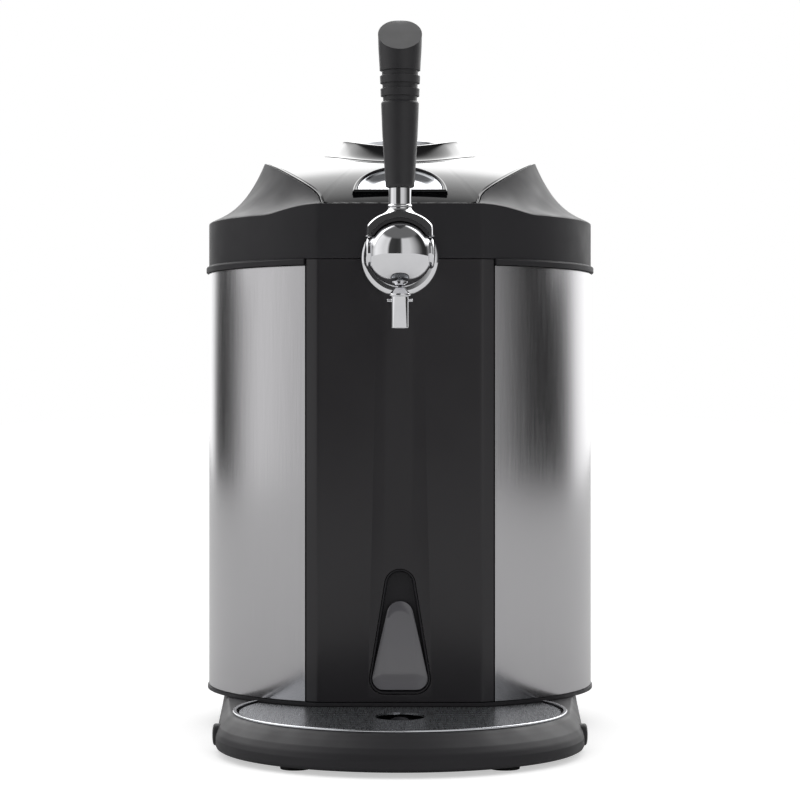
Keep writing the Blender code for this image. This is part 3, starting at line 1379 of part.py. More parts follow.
# Tap: a shank through the panel, a ball with a lever cap over it, a spout and a tall handle
FLANGE_RADIUS = 0.0247
FLANGE_THICKNESS = 0.006
FLANGE_ROUND = 0.0022
SHANK_TAIL = -0.0995
BALL_NECK_RADIUS = 0.0088
BALL_BOSS_RADIUS = 0.0095
BALL_BOSS_FOOT = 0.0150
BALL_BOSS_EDGE = 0.0195
BALL_BOSS_FACE = 0.0217
BALL_BOSS_CHAMFER = 0.0022
NUT_RADIUS = 0.0125
NUT_THICKNESS = 0.005
NUT_SIDES = 6
BARB_RISE = 0.0081
BARB_HEIGHT = TAP_HEIGHT + BARB_RISE
YOKE_RISE = 0.0278
YOKE_TOP = TAP_HEIGHT + YOKE_RISE
YOKE_HALF_DEPTH = 0.0085
YOKE_LIP = 0.0103
YOKE_WALL = 0.0016
YOKE_OUTSIDE_SHARES = (
    (1.0, 0.0), (1.0, 0.29), (0.955, 0.41), (0.74, 0.66), (0.43, 0.83), (0.345, 0.93), (0.335, 1.0),
    (0.0, 1.0),
)
YOKE_RADIUS = 0.0212
FERRULE_RADIUS = 0.0069
FERRULE_FOOT = 0.0012
HANDLE_SECTION_SHARES = (
    (1.0, 1.0), (0.82, 0.985), (0.70, 0.93), (0.52, 0.87), (0.30, 0.80), (0.08, 0.69), (0.015, 0.66),
)
HANDLE_RADIUS = 0.0135
HANDLE_FOOT_ROUND = 0.0012
GROOVE_SHARES = (0.665, 0.590, 0.515)
GROOVE_WIDTH = 0.0034
GROOVE_DEPTH = 0.0013
HANDLE_SLANT_DEGREES = 39
SPOUT_TOP_GAP = 0.0006
SPOUT_CONE_TOP_RADIUS = 0.0028
SPOUT_FLANGE_RADIUS = 0.0068
SPOUT_FLANGE_DROP = 0.0248
SPOUT_FLANGE_THICKNESS = 0.0016
SPOUT_FLANGE_TOP = TAP_HEIGHT - SPOUT_FLANGE_DROP
SPOUT_FLANGE_BOTTOM = SPOUT_FLANGE_TOP - SPOUT_FLANGE_THICKNESS
SPOUT_RADIUS = 0.0055
SPOUT_BORE = 0.0040
SPOUT_DROP = 0.0460
SPOUT_END = TAP_HEIGHT - SPOUT_DROP
SPOUT_BORE_DROP = 0.0284
SPOUT_BORE_TOP = TAP_HEIGHT - SPOUT_BORE_DROP
SPOUT_PIN_DROP = 0.0291
SPOUT_PIN_HEIGHT = TAP_HEIGHT - SPOUT_PIN_DROP
SPOUT_PIN_RADIUS = 0.0010
SPOUT_PIN_REACH = 0.0078


def make_tap():
    face = -FRONT_FLAT - GAP
    neck_front = TAP_Y + math.sqrt(BALL_RADIUS**2 - BALL_NECK_RADIUS**2)
    flange_front = face - FLANGE_THICKNESS
    bore = SHANK_RADIUS + GAP
    round_off = FLANGE_ROUND
    profile = (
        (bore, FLANGE_THICKNESS), (FLANGE_RADIUS - 2 * round_off, FLANGE_THICKNESS),
        (FLANGE_RADIUS - round_off / 2, FLANGE_THICKNESS - round_off / 2),
        (FLANGE_RADIUS, FLANGE_THICKNESS - round_off), (FLANGE_RADIUS, 0), (bore, 0),
    )
    turned("tap_flange", profile, CHROME, 32, True, (0, face, TAP_HEIGHT), "-Y")
    start = (0, neck_front + SLIDE_GAP + FLANGE_ROUND, TAP_HEIGHT)
    shank = rod("tap_shank", start, (0, SHANK_TAIL, TAP_HEIGHT), SHANK_RADIUS, CHROME, 24)
    barb = rod("shank_barb", (0, HOSE_Y, TAP_HEIGHT), (0, HOSE_Y, BARB_HEIGHT), HOSE_RADIUS, None, 16)
    join(shank, barb)
    nut_front = -PANEL_INSIDE + GAP
    nut = rod(
        "shank_nut", (0, nut_front, TAP_HEIGHT), (0, nut_front + NUT_THICKNESS, TAP_HEIGHT),
        NUT_RADIUS, STEEL, NUT_SIDES,
    )
    reach = (0, nut_front - OVERRUN, TAP_HEIGHT), (0, nut_front + NUT_THICKNESS + OVERRUN, TAP_HEIGHT)
    cut(nut, rod("nut_bore", *reach, bore, None, 24))
    make_ball(flange_front)
    make_lever()
    make_spout()
    make_hose()


def make_ball(flange_front):
    """The tap's round body with a pivot boss at each side and the neck that meets the flange."""
    neck_end = TAP_Y - (flange_front - GAP)
    start = math.asin(BALL_NECK_RADIUS / BALL_RADIUS)
    steps = 8
    profile = []
    for i in range(steps + 1):
        angle = i * (math.pi - start) / steps
        profile.append((BALL_RADIUS * math.sin(angle), BALL_RADIUS * math.cos(angle)))
    profile[0] = (0, BALL_RADIUS)
    profile += [(BALL_NECK_RADIUS, neck_end), (SHANK_RADIUS + GAP, neck_end)]
    seat = profile[steps][1] - SLIDE_GAP
    profile += [(SHANK_RADIUS + GAP, seat), (0, seat)]
    ball = turned("tap_body", profile, CHROME, SMALL_SIDES, place=(0, TAP_Y, TAP_HEIGHT), axis="-Y")
    profile = (
        (0, BALL_BOSS_FACE), (BALL_BOSS_RADIUS - BALL_BOSS_CHAMFER, BALL_BOSS_FACE),
        (BALL_BOSS_RADIUS, BALL_BOSS_EDGE), (BALL_BOSS_RADIUS, BALL_BOSS_FOOT), (0, BALL_BOSS_FOOT),
    )
    for side in ("-X", "+X"):
        boss = turned(f"ball_boss_{side}", profile, None, 28, place=(0, TAP_Y, TAP_HEIGHT), axis=side)
        join(ball, boss)


def dome(radius, first, steps=5):
    """Points on a quarter of a sphere's outline, from an angle above the level up to the top."""
    angles = [first + (math.pi / 2 - first) * i / (steps - 1) for i in range(steps - 1)]
    return [(radius * math.cos(a), radius * math.sin(a)) for a in angles] + [(0, radius)]


def make_lever():
    """The chrome arch and its black liner that rock over the ball, the ferrule and the handle."""
    axis = pivot("tap_lever_axis", (0, TAP_Y, TAP_HEIGHT))
    place = (0, TAP_Y, TAP_HEIGHT)
    rise = YOKE_TOP - TAP_HEIGHT - YOKE_LIP
    outside = [(YOKE_RADIUS * wide, YOKE_LIP + rise * high) for wide, high in YOKE_OUTSIDE_SHARES]
    inner = YOKE_RADIUS - YOKE_WALL
    shoulder = YOKE_LIP + YOKE_WALL
    radius = math.hypot(inner, shoulder)
    first = math.atan2(shoulder, inner)
    profile = outside[::-1] + [(inner, YOKE_LIP)] + dome(radius, first)
    yoke = turned("tap_yoke", profile, CHROME, SMALL_SIDES, place=place)
    seat = BALL_RADIUS + SLIDE_GAP
    profile = dome(radius - GAP, first)[::-1] + [(inner - GAP, YOKE_LIP)]
    profile += dome(seat, math.asin(YOKE_LIP / seat))
    liner = turned("yoke_liner", profile, HANDLE_BLACK, SMALL_SIDES, place=place)
    wide = YOKE_RADIUS + OVERRUN
    low = (-wide, TAP_Y - YOKE_HALF_DEPTH, TAP_HEIGHT)
    arch = block("yoke_arch", low, (wide, TAP_Y + YOKE_HALF_DEPTH, HANDLE_BOTTOM))
    cut(yoke, arch, "INTERSECT")
    cut(liner, arch, "INTERSECT")
    foot = FERRULE_FOOT
    low = YOKE_TOP + GAP
    high = HANDLE_BOTTOM - GAP
    profile = (
        (0, high), (FERRULE_RADIUS, high), (FERRULE_RADIUS, low + foot),
        (FERRULE_RADIUS + foot / 2, low), (0, low),
    )
    ferrule = turned("handle_ferrule", profile, CHROME, 24, place=(0, TAP_Y, 0))
    carry(axis, yoke, liner, ferrule, make_handle())


def handle_radius(share):
    """The handle's radius at a share of its height, from its table of sections."""
    for (top, wide), (bottom, narrow) in zip(HANDLE_SECTION_SHARES, HANDLE_SECTION_SHARES[1:]):
        if share >= bottom:
            blend = (share - bottom) / (top - bottom)
            return HANDLE_RADIUS * (narrow + (wide - narrow) * blend)
    return HANDLE_RADIUS * HANDLE_SECTION_SHARES[-1][1]


def make_handle():
    """A tall tapered grip with three grooves, cut off at a slant that faces the front."""
    height = HANDLE_TOP - HANDLE_BOTTOM
    knots = [(share * height, handle_radius(share)) for share, _ in HANDLE_SECTION_SHARES]
    for groove in GROOVE_SHARES:
        middle = groove * height
        radius = handle_radius(groove)
        half = GROOVE_WIDTH / 2
        ease = GROOVE_DEPTH / 2
        knots += [
            (middle + half, radius), (middle + half - ease, radius - GROOVE_DEPTH),
            (middle - half + ease, radius - GROOVE_DEPTH), (middle - half, radius),
        ]
    knots.sort(reverse=True)
    foot = HANDLE_FOOT_ROUND
    base = handle_radius(0)
    profile = [(0, knots[0][0])] + [(r, z) for z, r in knots] + [(base - foot, 0), (0, 0)]
    handle = turned("tap_handle", profile, HANDLE_BLACK, 20, place=(0, TAP_Y, HANDLE_BOTTOM))
    slant = math.radians(HANDLE_SLANT_DEGREES)
    reach = HANDLE_RADIUS * 4
    trim = block("handle_slant", (-reach, -reach, 0), (reach, reach, reach))
    trim.data.transform(Matrix.Rotation(slant, 4, "X"))
    trim.location = (0, TAP_Y + HANDLE_RADIUS, HANDLE_TOP)
    cut(handle, trim)
    return handle


def make_spout():
    top = TAP_HEIGHT - BALL_RADIUS - SPOUT_TOP_GAP
    profile = (
        (0, top), (SPOUT_CONE_TOP_RADIUS, top), (SPOUT_FLANGE_RADIUS - SPOUT_PIN_RADIUS, SPOUT_FLANGE_TOP),
        (SPOUT_FLANGE_RADIUS, SPOUT_FLANGE_TOP), (SPOUT_FLANGE_RADIUS, SPOUT_FLANGE_BOTTOM),
        (SPOUT_RADIUS, SPOUT_FLANGE_BOTTOM), (SPOUT_RADIUS, SPOUT_END), (SPOUT_BORE, SPOUT_END),
        (SPOUT_BORE, SPOUT_BORE_TOP), (0, SPOUT_BORE_TOP),
    )
    spout = turned("tap_spout", profile, CHROME, 24, place=(0, TAP_Y, 0))
    reach = SPOUT_PIN_REACH
    ends = (-reach, TAP_Y, SPOUT_PIN_HEIGHT), (reach, TAP_Y, SPOUT_PIN_HEIGHT)
    rod("spout_pin", *ends, SPOUT_PIN_RADIUS, CHROME, 12)
    cut(spout, rod("spout_pin_hole", *ends, SPOUT_PIN_RADIUS + GAP, None, 12))


HOSE_END_DEGREES = 32
HOSE_END_RADIUS = 0.0945
HOSE_LIFT = 0.003
HOSE_STEPS = 18
CONNECTOR_RADIUS = 0.0038
CONNECTOR_LENGTH = 0.010


def hose_rest(angle):
    """A place on the ledge beside the keg well, at an angle from the front in degrees."""
    share = angle / HOSE_END_DEGREES
    radius = -HOSE_Y + (HOSE_END_RADIUS + HOSE_Y) * share
    way = math.radians(angle)
    return Vector((-radius * math.sin(way), -radius * math.cos(way), LEDGE_TOP + CONNECTOR_RADIUS + GAP))


def make_hose():
    """The beer line: up from the shank, through the ledge, and round to its parked connector."""
    start = Vector((0, HOSE_Y, BARB_HEIGHT + GAP))
    rise = Vector((0, HOSE_Y, LEDGE_TOP + HOSE_LIFT))
    end = hose_rest(HOSE_END_DEGREES)
    near = hose_rest(HOSE_END_DEGREES - 1)
    along = (end - near).normalized()
    points = [start]
    for i in range(HOSE_STEPS + 1):
        s = i / HOSE_STEPS
        lift = Vector((0, 0, HOSE_LIFT * 2))
        first = rise + lift
        second = end - along * HOSE_END_RADIUS / 2
        point = rise * (1 - s) ** 3 + first * 3 * s * (1 - s) ** 2 + second * 3 * s**2 * (1 - s) + end * s**3
        points.append(point)
    tube("beer_line", points, HOSE_RADIUS, HOSE)
    gap = along * GAP
    far = end + along * CONNECTOR_LENGTH
    rod("line_connector", end + gap, far, CONNECTOR_RADIUS, SILVER, 16)


make_base()
make_tray()
make_cabinet()
make_window()
make_keg_space()
make_rear_housing()
make_collar()
make_lid()
make_tap()
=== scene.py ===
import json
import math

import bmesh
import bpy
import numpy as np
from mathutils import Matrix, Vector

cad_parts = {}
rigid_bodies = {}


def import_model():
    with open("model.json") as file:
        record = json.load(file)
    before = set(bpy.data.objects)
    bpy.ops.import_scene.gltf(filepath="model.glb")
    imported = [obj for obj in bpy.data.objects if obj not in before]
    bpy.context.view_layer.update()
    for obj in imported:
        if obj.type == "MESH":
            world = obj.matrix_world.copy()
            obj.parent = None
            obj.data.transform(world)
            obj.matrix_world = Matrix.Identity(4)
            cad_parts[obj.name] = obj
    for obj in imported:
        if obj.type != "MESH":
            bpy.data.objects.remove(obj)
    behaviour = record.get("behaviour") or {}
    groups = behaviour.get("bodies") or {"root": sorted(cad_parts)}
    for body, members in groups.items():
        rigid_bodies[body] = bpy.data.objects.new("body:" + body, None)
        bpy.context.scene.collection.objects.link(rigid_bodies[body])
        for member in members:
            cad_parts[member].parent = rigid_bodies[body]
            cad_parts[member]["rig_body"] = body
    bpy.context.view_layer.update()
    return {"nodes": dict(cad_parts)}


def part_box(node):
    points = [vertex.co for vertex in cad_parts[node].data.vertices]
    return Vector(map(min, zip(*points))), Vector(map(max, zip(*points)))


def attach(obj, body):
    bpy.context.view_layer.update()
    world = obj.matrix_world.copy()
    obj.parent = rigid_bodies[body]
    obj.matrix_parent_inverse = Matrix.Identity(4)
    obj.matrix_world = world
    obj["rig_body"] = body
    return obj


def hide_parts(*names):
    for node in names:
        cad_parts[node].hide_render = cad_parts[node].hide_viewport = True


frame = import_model()

# %% [markdown]
# # A mini keg beer dispenser
# The machine is a satin steel cabinet with a black base, a black lid and a chromed tap. The
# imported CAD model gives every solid, its place and how it moves. Here the surfaces that the eye
# rests on are drawn again with finer curves, and every piece gets the finish of a real material.
# Shapes are worked out with numpy as grids of points, because a formula for a whole surface is
# shorter than moving vertices one by one, and it stays easy to change.

well_low, well_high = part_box("keg_well")
AXIS_Y = (well_low.y + well_high.y) / 2
TURN = 2 * math.pi

# %% [markdown]
# ## Camera
# The photograph was taken from straight in front, level with the tap's foot, with a long lens,
# so the sides hardly converge. The camera stands 1.7 m in front of the cabinet's axis.

# %% Camera
CAMERA_DISTANCE = 1.70
CAMERA_HEIGHT = 0.216
lens = bpy.data.cameras.new("camera")
lens.lens = 112.3
lens.sensor_width = 36.0
lens.shift_y = 0.005
camera = bpy.data.objects.new("camera", lens)
camera.location = (0, AXIS_Y - CAMERA_DISTANCE, CAMERA_HEIGHT)
camera.rotation_euler = (math.radians(90), 0, 0)
bpy.context.scene.collection.objects.link(camera)
bpy.context.scene.camera = camera
bpy.context.scene.view_settings.view_transform = "Standard"
print(f"camera {CAMERA_DISTANCE} m in front, {CAMERA_HEIGHT} m high, {lens.lens} mm lens")

# %% [markdown]
# ## Colours and nodes
# Colours are written as the six hex digits that a screen shows. The renderer adds up light in
# linear values, so one function turns a screen value v into ((v + 0.055) / 1.055) ** 2.4. A
# second one adds a shader node, since that is otherwise three lines for each node, and a third
# fills in a colour ramp.


# %% Colour and node helpers
def linear(code):
    """Linear RGBA of a hex sRGB colour: v / 12.92 when dark, else ((v + 0.055) / 1.055) ** 2.4."""
    values = np.array([int(code[i : i + 2], 16) for i in (1, 3, 5)]) / 255
    dark = values <= 0.04045
    return (*np.where(dark, values / 12.92, ((values + 0.055) / 1.055) ** 2.4).tolist(), 1.0)


def add(tree, kind, inputs=None, **settings):
    """Adds a node. inputs gives, by socket name or number, a constant or the socket to link."""
    node = tree.nodes.new(kind)
    for key, value in settings.items():
        setattr(node, key, value)
    for key, value in (inputs or {}).items():
        if isinstance(value, bpy.types.NodeSocket):
            tree.links.new(value, node.inputs[key])
        else:
            node.inputs[key].default_value = value
    return node


def paint(ramp, stops):
    """Gives a colour ramp node its stops, as (position, colour) in rising order."""
    elements = ramp.color_ramp.elements
    for number, (position, colour) in enumerate(stops):
        stop = elements[number] if number < 2 else elements.new(1.0)
        stop.position = position
        stop.color = colour


print("linear mid grey:", round(linear("#808080")[0], 4))

# %% [markdown]
# ## The studio
# A product like this is photographed between two large white panels, with a dark gap in front
# where the camera stands. Polished metal shows exactly that, so the world is painted by
# direction for mirror rays: bright panels to the left and right, a dark front, a grey ceiling,
# and a large softbox that hangs above and behind the machine and lights up the polished lid.
# Other rays see one even pale colour, so plastics render about as their colour is written, and
# camera rays see white.

# %% World
CEILING = (0.15, 0.15, 0.15, 1)
WHITE = (1, 1, 1, 1)
PANEL_STRENGTH = 1.7
SOFTBOX_STRENGTH = 9.0
# The softbox's share of full brightness by the sine of the elevation
SOFTBOX = (
    (0.0, 0.0), (0.24, 0.0), (0.40, 0.20), (0.70, 0.42), (0.80, 0.36), (0.857, 0.26), (0.904, 0.16),
    (0.937, 0.05), (0.958, 0.01), (1.0, 0.0),
)
# The walls' share by the direction in degrees from the front, positive to the right
STUDIO_WALLS = (
    (-180, 1.00), (-151, 0.90), (-143, 0.08), (-134, 0.01), (-126, 0.04), (-116, 0.16), (-105, 0.44),
    (-93, 0.60), (-78, 0.54), (-60, 0.44), (-46, 0.46), (-38, 0.03), (-12, 0.02), (2, 0.03), (10, 0.40),
    (36, 0.40), (54, 0.26), (66, 0.16), (76, 0.07), (86, 0.02), (102, 0.015), (112, 0.06), (121, 0.28),
    (131, 0.80), (142, 1.00), (180, 1.00),
)
world = bpy.data.worlds.new("studio")
bpy.context.scene.world = world
world.use_nodes = True
tree = world.node_tree
tree.nodes.clear()
ray = add(tree, "ShaderNodeTexCoord")
parts = add(tree, "ShaderNodeSeparateXYZ", {0: ray.outputs["Generated"]})
front = add(tree, "ShaderNodeMath", {0: parts.outputs["Y"], 1: -1.0}, operation="MULTIPLY")
turn = add(tree, "ShaderNodeMath", {0: parts.outputs["X"], 1: front.outputs[0]}, operation="ARCTAN2")
share = add(
    tree, "ShaderNodeMapRange", {"Value": turn.outputs[0], "From Min": -math.pi, "From Max": math.pi},
)
walls = add(tree, "ShaderNodeValToRGB", {"Fac": share.outputs[0]})
paint(walls, [((degrees + 180) / 360, (value, value, value, 1)) for degrees, value in STUDIO_WALLS])
bright = add(
    tree, "ShaderNodeVectorMath", {0: walls.outputs["Color"], "Scale": PANEL_STRENGTH}, operation="SCALE",
)
height = add(
    tree, "ShaderNodeMapRange", {"Value": parts.outputs["Z"], "From Min": 0.70, "From Max": 0.80},
    interpolation_type="SMOOTHSTEP",
)
painted = add(
    tree, "ShaderNodeMix", {0: height.outputs[0], 6: bright.outputs[0], 7: CEILING},
    data_type="RGBA",
)
above = add(tree, "ShaderNodeValToRGB", {"Fac": parts.outputs["Z"]})
paint(above, [(sine, (value, value, value, 1)) for sine, value in SOFTBOX])
behind = add(
    tree, "ShaderNodeMapRange", {"Value": parts.outputs["Y"], "From Min": 0.16, "From Max": 0.34},
    interpolation_type="SMOOTHSTEP",
)
power = add(tree, "ShaderNodeMath", {0: behind.outputs[0], 1: SOFTBOX_STRENGTH}, operation="MULTIPLY")
hung = add(
    tree, "ShaderNodeVectorMath", {0: above.outputs["Color"], "Scale": power.outputs[0]}, operation="SCALE",
)
lit = add(tree, "ShaderNodeVectorMath", {0: painted.outputs[2], 1: hung.outputs[0]}, operation="ADD")
even = add(
    tree, "ShaderNodeMapRange",
    {"Value": parts.outputs["Z"], "From Min": -0.6, "From Max": 1.0, "To Min": 0.55, "To Max": 0.95},
)
path = add(tree, "ShaderNodeLightPath")
mirrored = add(
    tree, "ShaderNodeMix", {0: path.outputs["Is Glossy Ray"], 6: even.outputs[0], 7: lit.outputs[0]},
    data_type="RGBA",
)
seen = add(
    tree, "ShaderNodeMix", {0: path.outputs["Is Camera Ray"], 6: mirrored.outputs[2], 7: WHITE},
    data_type="RGBA",
)
background = add(tree, "ShaderNodeBackground", {"Color": seen.outputs[2], "Strength": 1.0})
add(tree, "ShaderNodeOutputWorld", {"Surface": background.outputs[0]})
print(f"studio walls painted with {len(STUDIO_WALLS)} stops")

# %% [markdown]
# ## Surfaces from grids
# Most of the machine is either turned on an axis, a plan carried upwards through several levels,
# or a ring of cross sections. All three are grids of points, so one function makes the skin:
# each four neighbours become a face, rows or columns may close on themselves, and the first and
# last rows may be capped. Where a row shrinks to a point its doubles are merged into one pole.


# %% Skins and turned pieces
def settle(name, mesh, sharp=32.0):
    """Merges doubles, turns every face outwards, smooths it and keeps edges above sharp degrees."""
    shape = bmesh.new()
    shape.from_mesh(mesh)
    bmesh.ops.remove_doubles(shape, verts=shape.verts, dist=2e-6)
    bmesh.ops.dissolve_degenerate(shape, edges=shape.edges, dist=1e-7)
    bmesh.ops.recalc_face_normals(shape, faces=shape.faces)
    shape.to_mesh(mesh)
    shape.free()
    mesh.shade_smooth()
    mesh.set_sharp_from_angle(angle=math.radians(sharp))
    piece = bpy.data.objects.new(name, mesh)
    bpy.context.scene.collection.objects.link(piece)
    return piece


def skin(name, grid, around=True, loop=False, caps=False, sharp=32.0):
    """Mesh over grid[i, j] in cabinet coordinates, with quads between rows i, i+1 and places
    j, j+1. around closes the places, loop closes the rows, caps puts a face on both end rows."""
    rows, places = grid.shape[:2]
    i, j = np.meshgrid(np.arange(rows - 1 + loop), np.arange(places - 1 + around), indexing="ij")
    down, along = (i + 1) % rows, (j + 1) % places
    corners = (i * places + j, i * places + along, down * places + along, down * places + j)
    faces = np.stack(corners, axis=-1).reshape(-1, 4).tolist()
    if caps:
        faces += [list(range(places)), list(range((rows - 1) * places, rows * places))]
    mesh = bpy.data.meshes.new(name)
    mesh.from_pydata((grid.reshape(-1, 3) + (0, AXIS_Y, 0)).tolist(), [], faces)
    return settle(name, mesh, sharp)


def rounded(corners, radii, steps=5):
    """Path through the corners, each rounded by a quadratic curve P = (1-t)^2 A + 2t(1-t) C + t^2 B,
    where A and B lie the radius away from corner C along its two sides."""
    corners = np.array(corners, float)
    radii = np.broadcast_to(np.array(radii, float), len(corners))
    before = np.roll(corners, 1, axis=0) - corners
    after = np.roll(corners, -1, axis=0) - corners
    ends = []
    for side in (before, after):
        length = np.linalg.norm(side, axis=1, keepdims=True)
        ends.append(corners + side / length * np.minimum(radii[:, None], length * 0.49))
    t = np.linspace(0, 1, steps)[None, :, None]
    path = (1 - t) ** 2 * ends[0][:, None] + 2 * t * (1 - t) * corners[:, None] + t**2 * ends[1][:, None]
    path[radii == 0] = corners[radii == 0][:, None]
    return path.reshape(-1, 2)


def turned(name, corners, radii=0.0, centre=(0, 0, 0), axis="Z", sides=128, loop=True, sharp=32.0):
    """Turns a profile of (radius, height) about an axis: (r cos a, r sin a, h) for a full turn. The
    profile is a closed loop, or runs from the axis back to the axis when loop is off."""
    radii = np.array(np.broadcast_to(np.array(radii, float), len(corners)))
    if not loop:
        radii[[0, -1]] = 0
    profile = rounded(corners, radii)
    angle = np.arange(sides) / sides * TURN
    across = profile[:, 0, None] * np.cos(angle)
    along = profile[:, 0, None] * np.sin(angle)
    rise = np.broadcast_to(profile[:, 1, None], across.shape)
    order = {"Z": (across, along, rise), "Y": (across, rise, along), "X": (rise, across, along)}[axis]
    return skin(name, np.stack(order, axis=-1) + np.array(centre), loop=loop, sharp=sharp)


def inset(outline, distance):
    """Outline moved inwards: each point goes distance / cos(half the bend) along its mean normal."""
    edge = np.roll(outline, -1, axis=0) - outline
    edge = edge / np.maximum(np.linalg.norm(edge, axis=1, keepdims=True), 1e-12)
    normal = np.stack((-edge[:, 1], edge[:, 0]), axis=1)
    mean = normal + np.roll(normal, 1, axis=0)
    mean = mean / np.linalg.norm(mean, axis=1, keepdims=True)
    reach = distance / np.clip((mean * normal).sum(axis=1, keepdims=True), 0.4, 1)
    area = np.cross(outline, np.roll(outline, -1, axis=0)).sum()
    return outline + mean * reach * np.sign(area)


PLANES = {"top": (0, 1, 2), "front": (0, 2, 1), "side": (2, 0, 1)}


def extruded(name, outline, levels, plane="top", sharp=32.0):
    """Carries a plan through (height, inset) levels, and caps both ends. The plan lies level, or
    stands facing the front or the side; height then runs along y or x."""
    rows = [np.column_stack((inset(outline, drop), np.full(len(outline), rise))) for rise, drop in levels]
    order = PLANES[plane]
    return skin(name, np.stack(rows)[..., order], caps=True, sharp=sharp)


def edged(low, high, bevel, steps=4):
    """Levels of a plate from low to high whose edges are rounded: height low + b(1 - cos t) with an
    inset of b(1 - sin t), and the same again at the top."""
    t = np.linspace(0, math.pi / 2, steps)
    lower = [(low + bevel * (1 - math.cos(a)), bevel * (1 - math.sin(a))) for a in t]
    upper = [(high - bevel * (1 - math.cos(a)), bevel * (1 - math.sin(a))) for a in t[::-1]]
    return lower + upper


def cut_out(piece, *cutters, sharp=32.0, operation="DIFFERENCE"):
    """Takes the cutters' volume out of the piece with an exact Boolean, and deletes the cutters."""
    for cutter in cutters:
        change = piece.modifiers.new("cut", "BOOLEAN")
        change.operation = operation
        change.solver = "EXACT"
        change.object = cutter
    result = piece.evaluated_get(bpy.context.evaluated_depsgraph_get())
    mesh = bpy.data.meshes.new_from_object(result)
    mesh.name = piece.name
    piece.modifiers.clear()
    piece.data = mesh
    for cutter in cutters:
        bpy.data.objects.remove(cutter)
    mesh.shade_smooth()
    mesh.set_sharp_from_angle(angle=math.radians(sharp))
    return piece


print("helpers ready:", ", ".join(("skin", "turned", "extruded", "cut_out")))

# %% [markdown]
# ## Finishes
# Most of the machine is moulded plastic. A mould is spark eroded to a fine even grain, which
# gives satin ABS its soft sheen, or it is polished, which gives piano black. Both are the same
# shader with another grain, so one function makes them: a dark and a light tint mixed by noise
# of the grain's real size, a roughness that wanders a little, and a bump of the grain's depth.


# %% Moulded and metal finishes
def new_finish(name):
    """An empty material with its shader; returns the tree, the shader and object coordinates."""
    made = bpy.data.materials.new(name)
    made.use_nodes = True
    tree = made.node_tree
    shader = tree.nodes["Principled BSDF"]
    place = add(tree, "ShaderNodeTexCoord").outputs["Object"]
    return made, tree, shader, place


def moulded(name, dark, light, rough, grain, depth, cloud=0.02, sheen=0.0, specular=0.5):
    """Moulded or cast solid. grain and depth are millimetres, cloud is metres across one patch,
    rough is the lowest and highest roughness. specular under 0.5 is for a mould so coarse that its
    grain shades itself."""
    made, tree, shader, place = new_finish(name)
    fine = add(
        tree, "ShaderNodeTexNoise",
        {"Vector": place, "Scale": 1000 / grain, "Detail": 3.0, "Roughness": 0.55},
    )
    patch = add(tree, "ShaderNodeTexNoise", {"Vector": place, "Scale": 1 / cloud, "Detail": 2.0})
    both = add(
        tree, "ShaderNodeMath", {0: fine.outputs["Fac"], 1: patch.outputs["Fac"], 2: 0.22},
        operation="MULTIPLY_ADD",
    )
    tint = add(
        tree, "ShaderNodeMix", {0: both.outputs[0], 6: linear(dark), 7: linear(light)}, data_type="RGBA",
    )
    wander = add(
        tree, "ShaderNodeMapRange",
        {"Value": patch.outputs["Fac"], "From Min": 0.3, "From Max": 0.7, "To Min": rough[0],
         "To Max": rough[1]},
    )
    bump = add(
        tree, "ShaderNodeBump", {"Height": fine.outputs["Fac"], "Strength": 1.0, "Distance": depth / 1000},
    )
    tree.links.new(tint.outputs[2], shader.inputs["Base Color"])
    tree.links.new(wander.outputs[0], shader.inputs["Roughness"])
    tree.links.new(bump.outputs[0], shader.inputs["Normal"])
    shader.inputs["Sheen Weight"].default_value = sheen
    shader.inputs["IOR"].default_value = 1.5
    shader.inputs["Specular IOR Level"].default_value = specular
    return made


def metal(name, dark, light, rough, streak=(1.0, 1.0, 1.0), grain=0.5, depth=0.0):
    """Bare or plated metal. streak stretches the grain along an axis, as brushing does: a grain of
    0.5 mm and a streak of (1, 1, 0.02) gives hairlines 0.5 mm wide and 25 mm tall."""
    made, tree, shader, place = new_finish(name)
    drawn = add(tree, "ShaderNodeMapping", {"Vector": place, "Scale": streak})
    fine = add(
        tree, "ShaderNodeTexNoise",
        {"Vector": drawn.outputs[0], "Scale": 1000 / grain, "Detail": 4.0, "Roughness": 0.6},
    )
    tint = add(
        tree, "ShaderNodeMix", {0: fine.outputs["Fac"], 6: linear(dark), 7: linear(light)}, data_type="RGBA",
    )
    wander = add(
        tree, "ShaderNodeMapRange",
        {"Value": fine.outputs["Fac"], "From Min": 0.3, "From Max": 0.7, "To Min": rough[0],
         "To Max": rough[1]},
    )
    tree.links.new(tint.outputs[2], shader.inputs["Base Color"])
    tree.links.new(wander.outputs[0], shader.inputs["Roughness"])
    shader.inputs["Metallic"].default_value = 1.0
    if depth:
        bump = add(tree, "ShaderNodeBump", {"Height": fine.outputs["Fac"], "Distance": depth / 1000})
        tree.links.new(bump.outputs[0], shader.inputs["Normal"])
    return made


# Injection moulded ABS from a spark eroded mould, drawn with 0.8 mm grain so that it shows
SATIN_ABS = moulded("satin_abs_spark_eroded", "#201f22", "#272629", (0.50, 0.60), 0.8, 0.010, specular=0.3)
# The same plastic from a fine sanded mould on the front panel, nearly even
PANEL_ABS = moulded("satin_abs_fine_sanded", "#201e21", "#252326", (0.30, 0.36), 0.6, 0.004, 0.05)
# ABS from a polished mould: piano black, with the faint waviness of a thick moulding
GLOSS_ABS = moulded("piano_black_abs", "#060608", "#0b0b0d", (0.05, 0.09), 6.0, 0.004, 0.03)
# Soft touch lacquer on the tap handle: matt, with a weak sheen at grazing angles
SOFT_BLACK = moulded("soft_touch_lacquer", "#1b1a1d", "#242326", (0.42, 0.52), 0.5, 0.005, 0.01, 0.08)
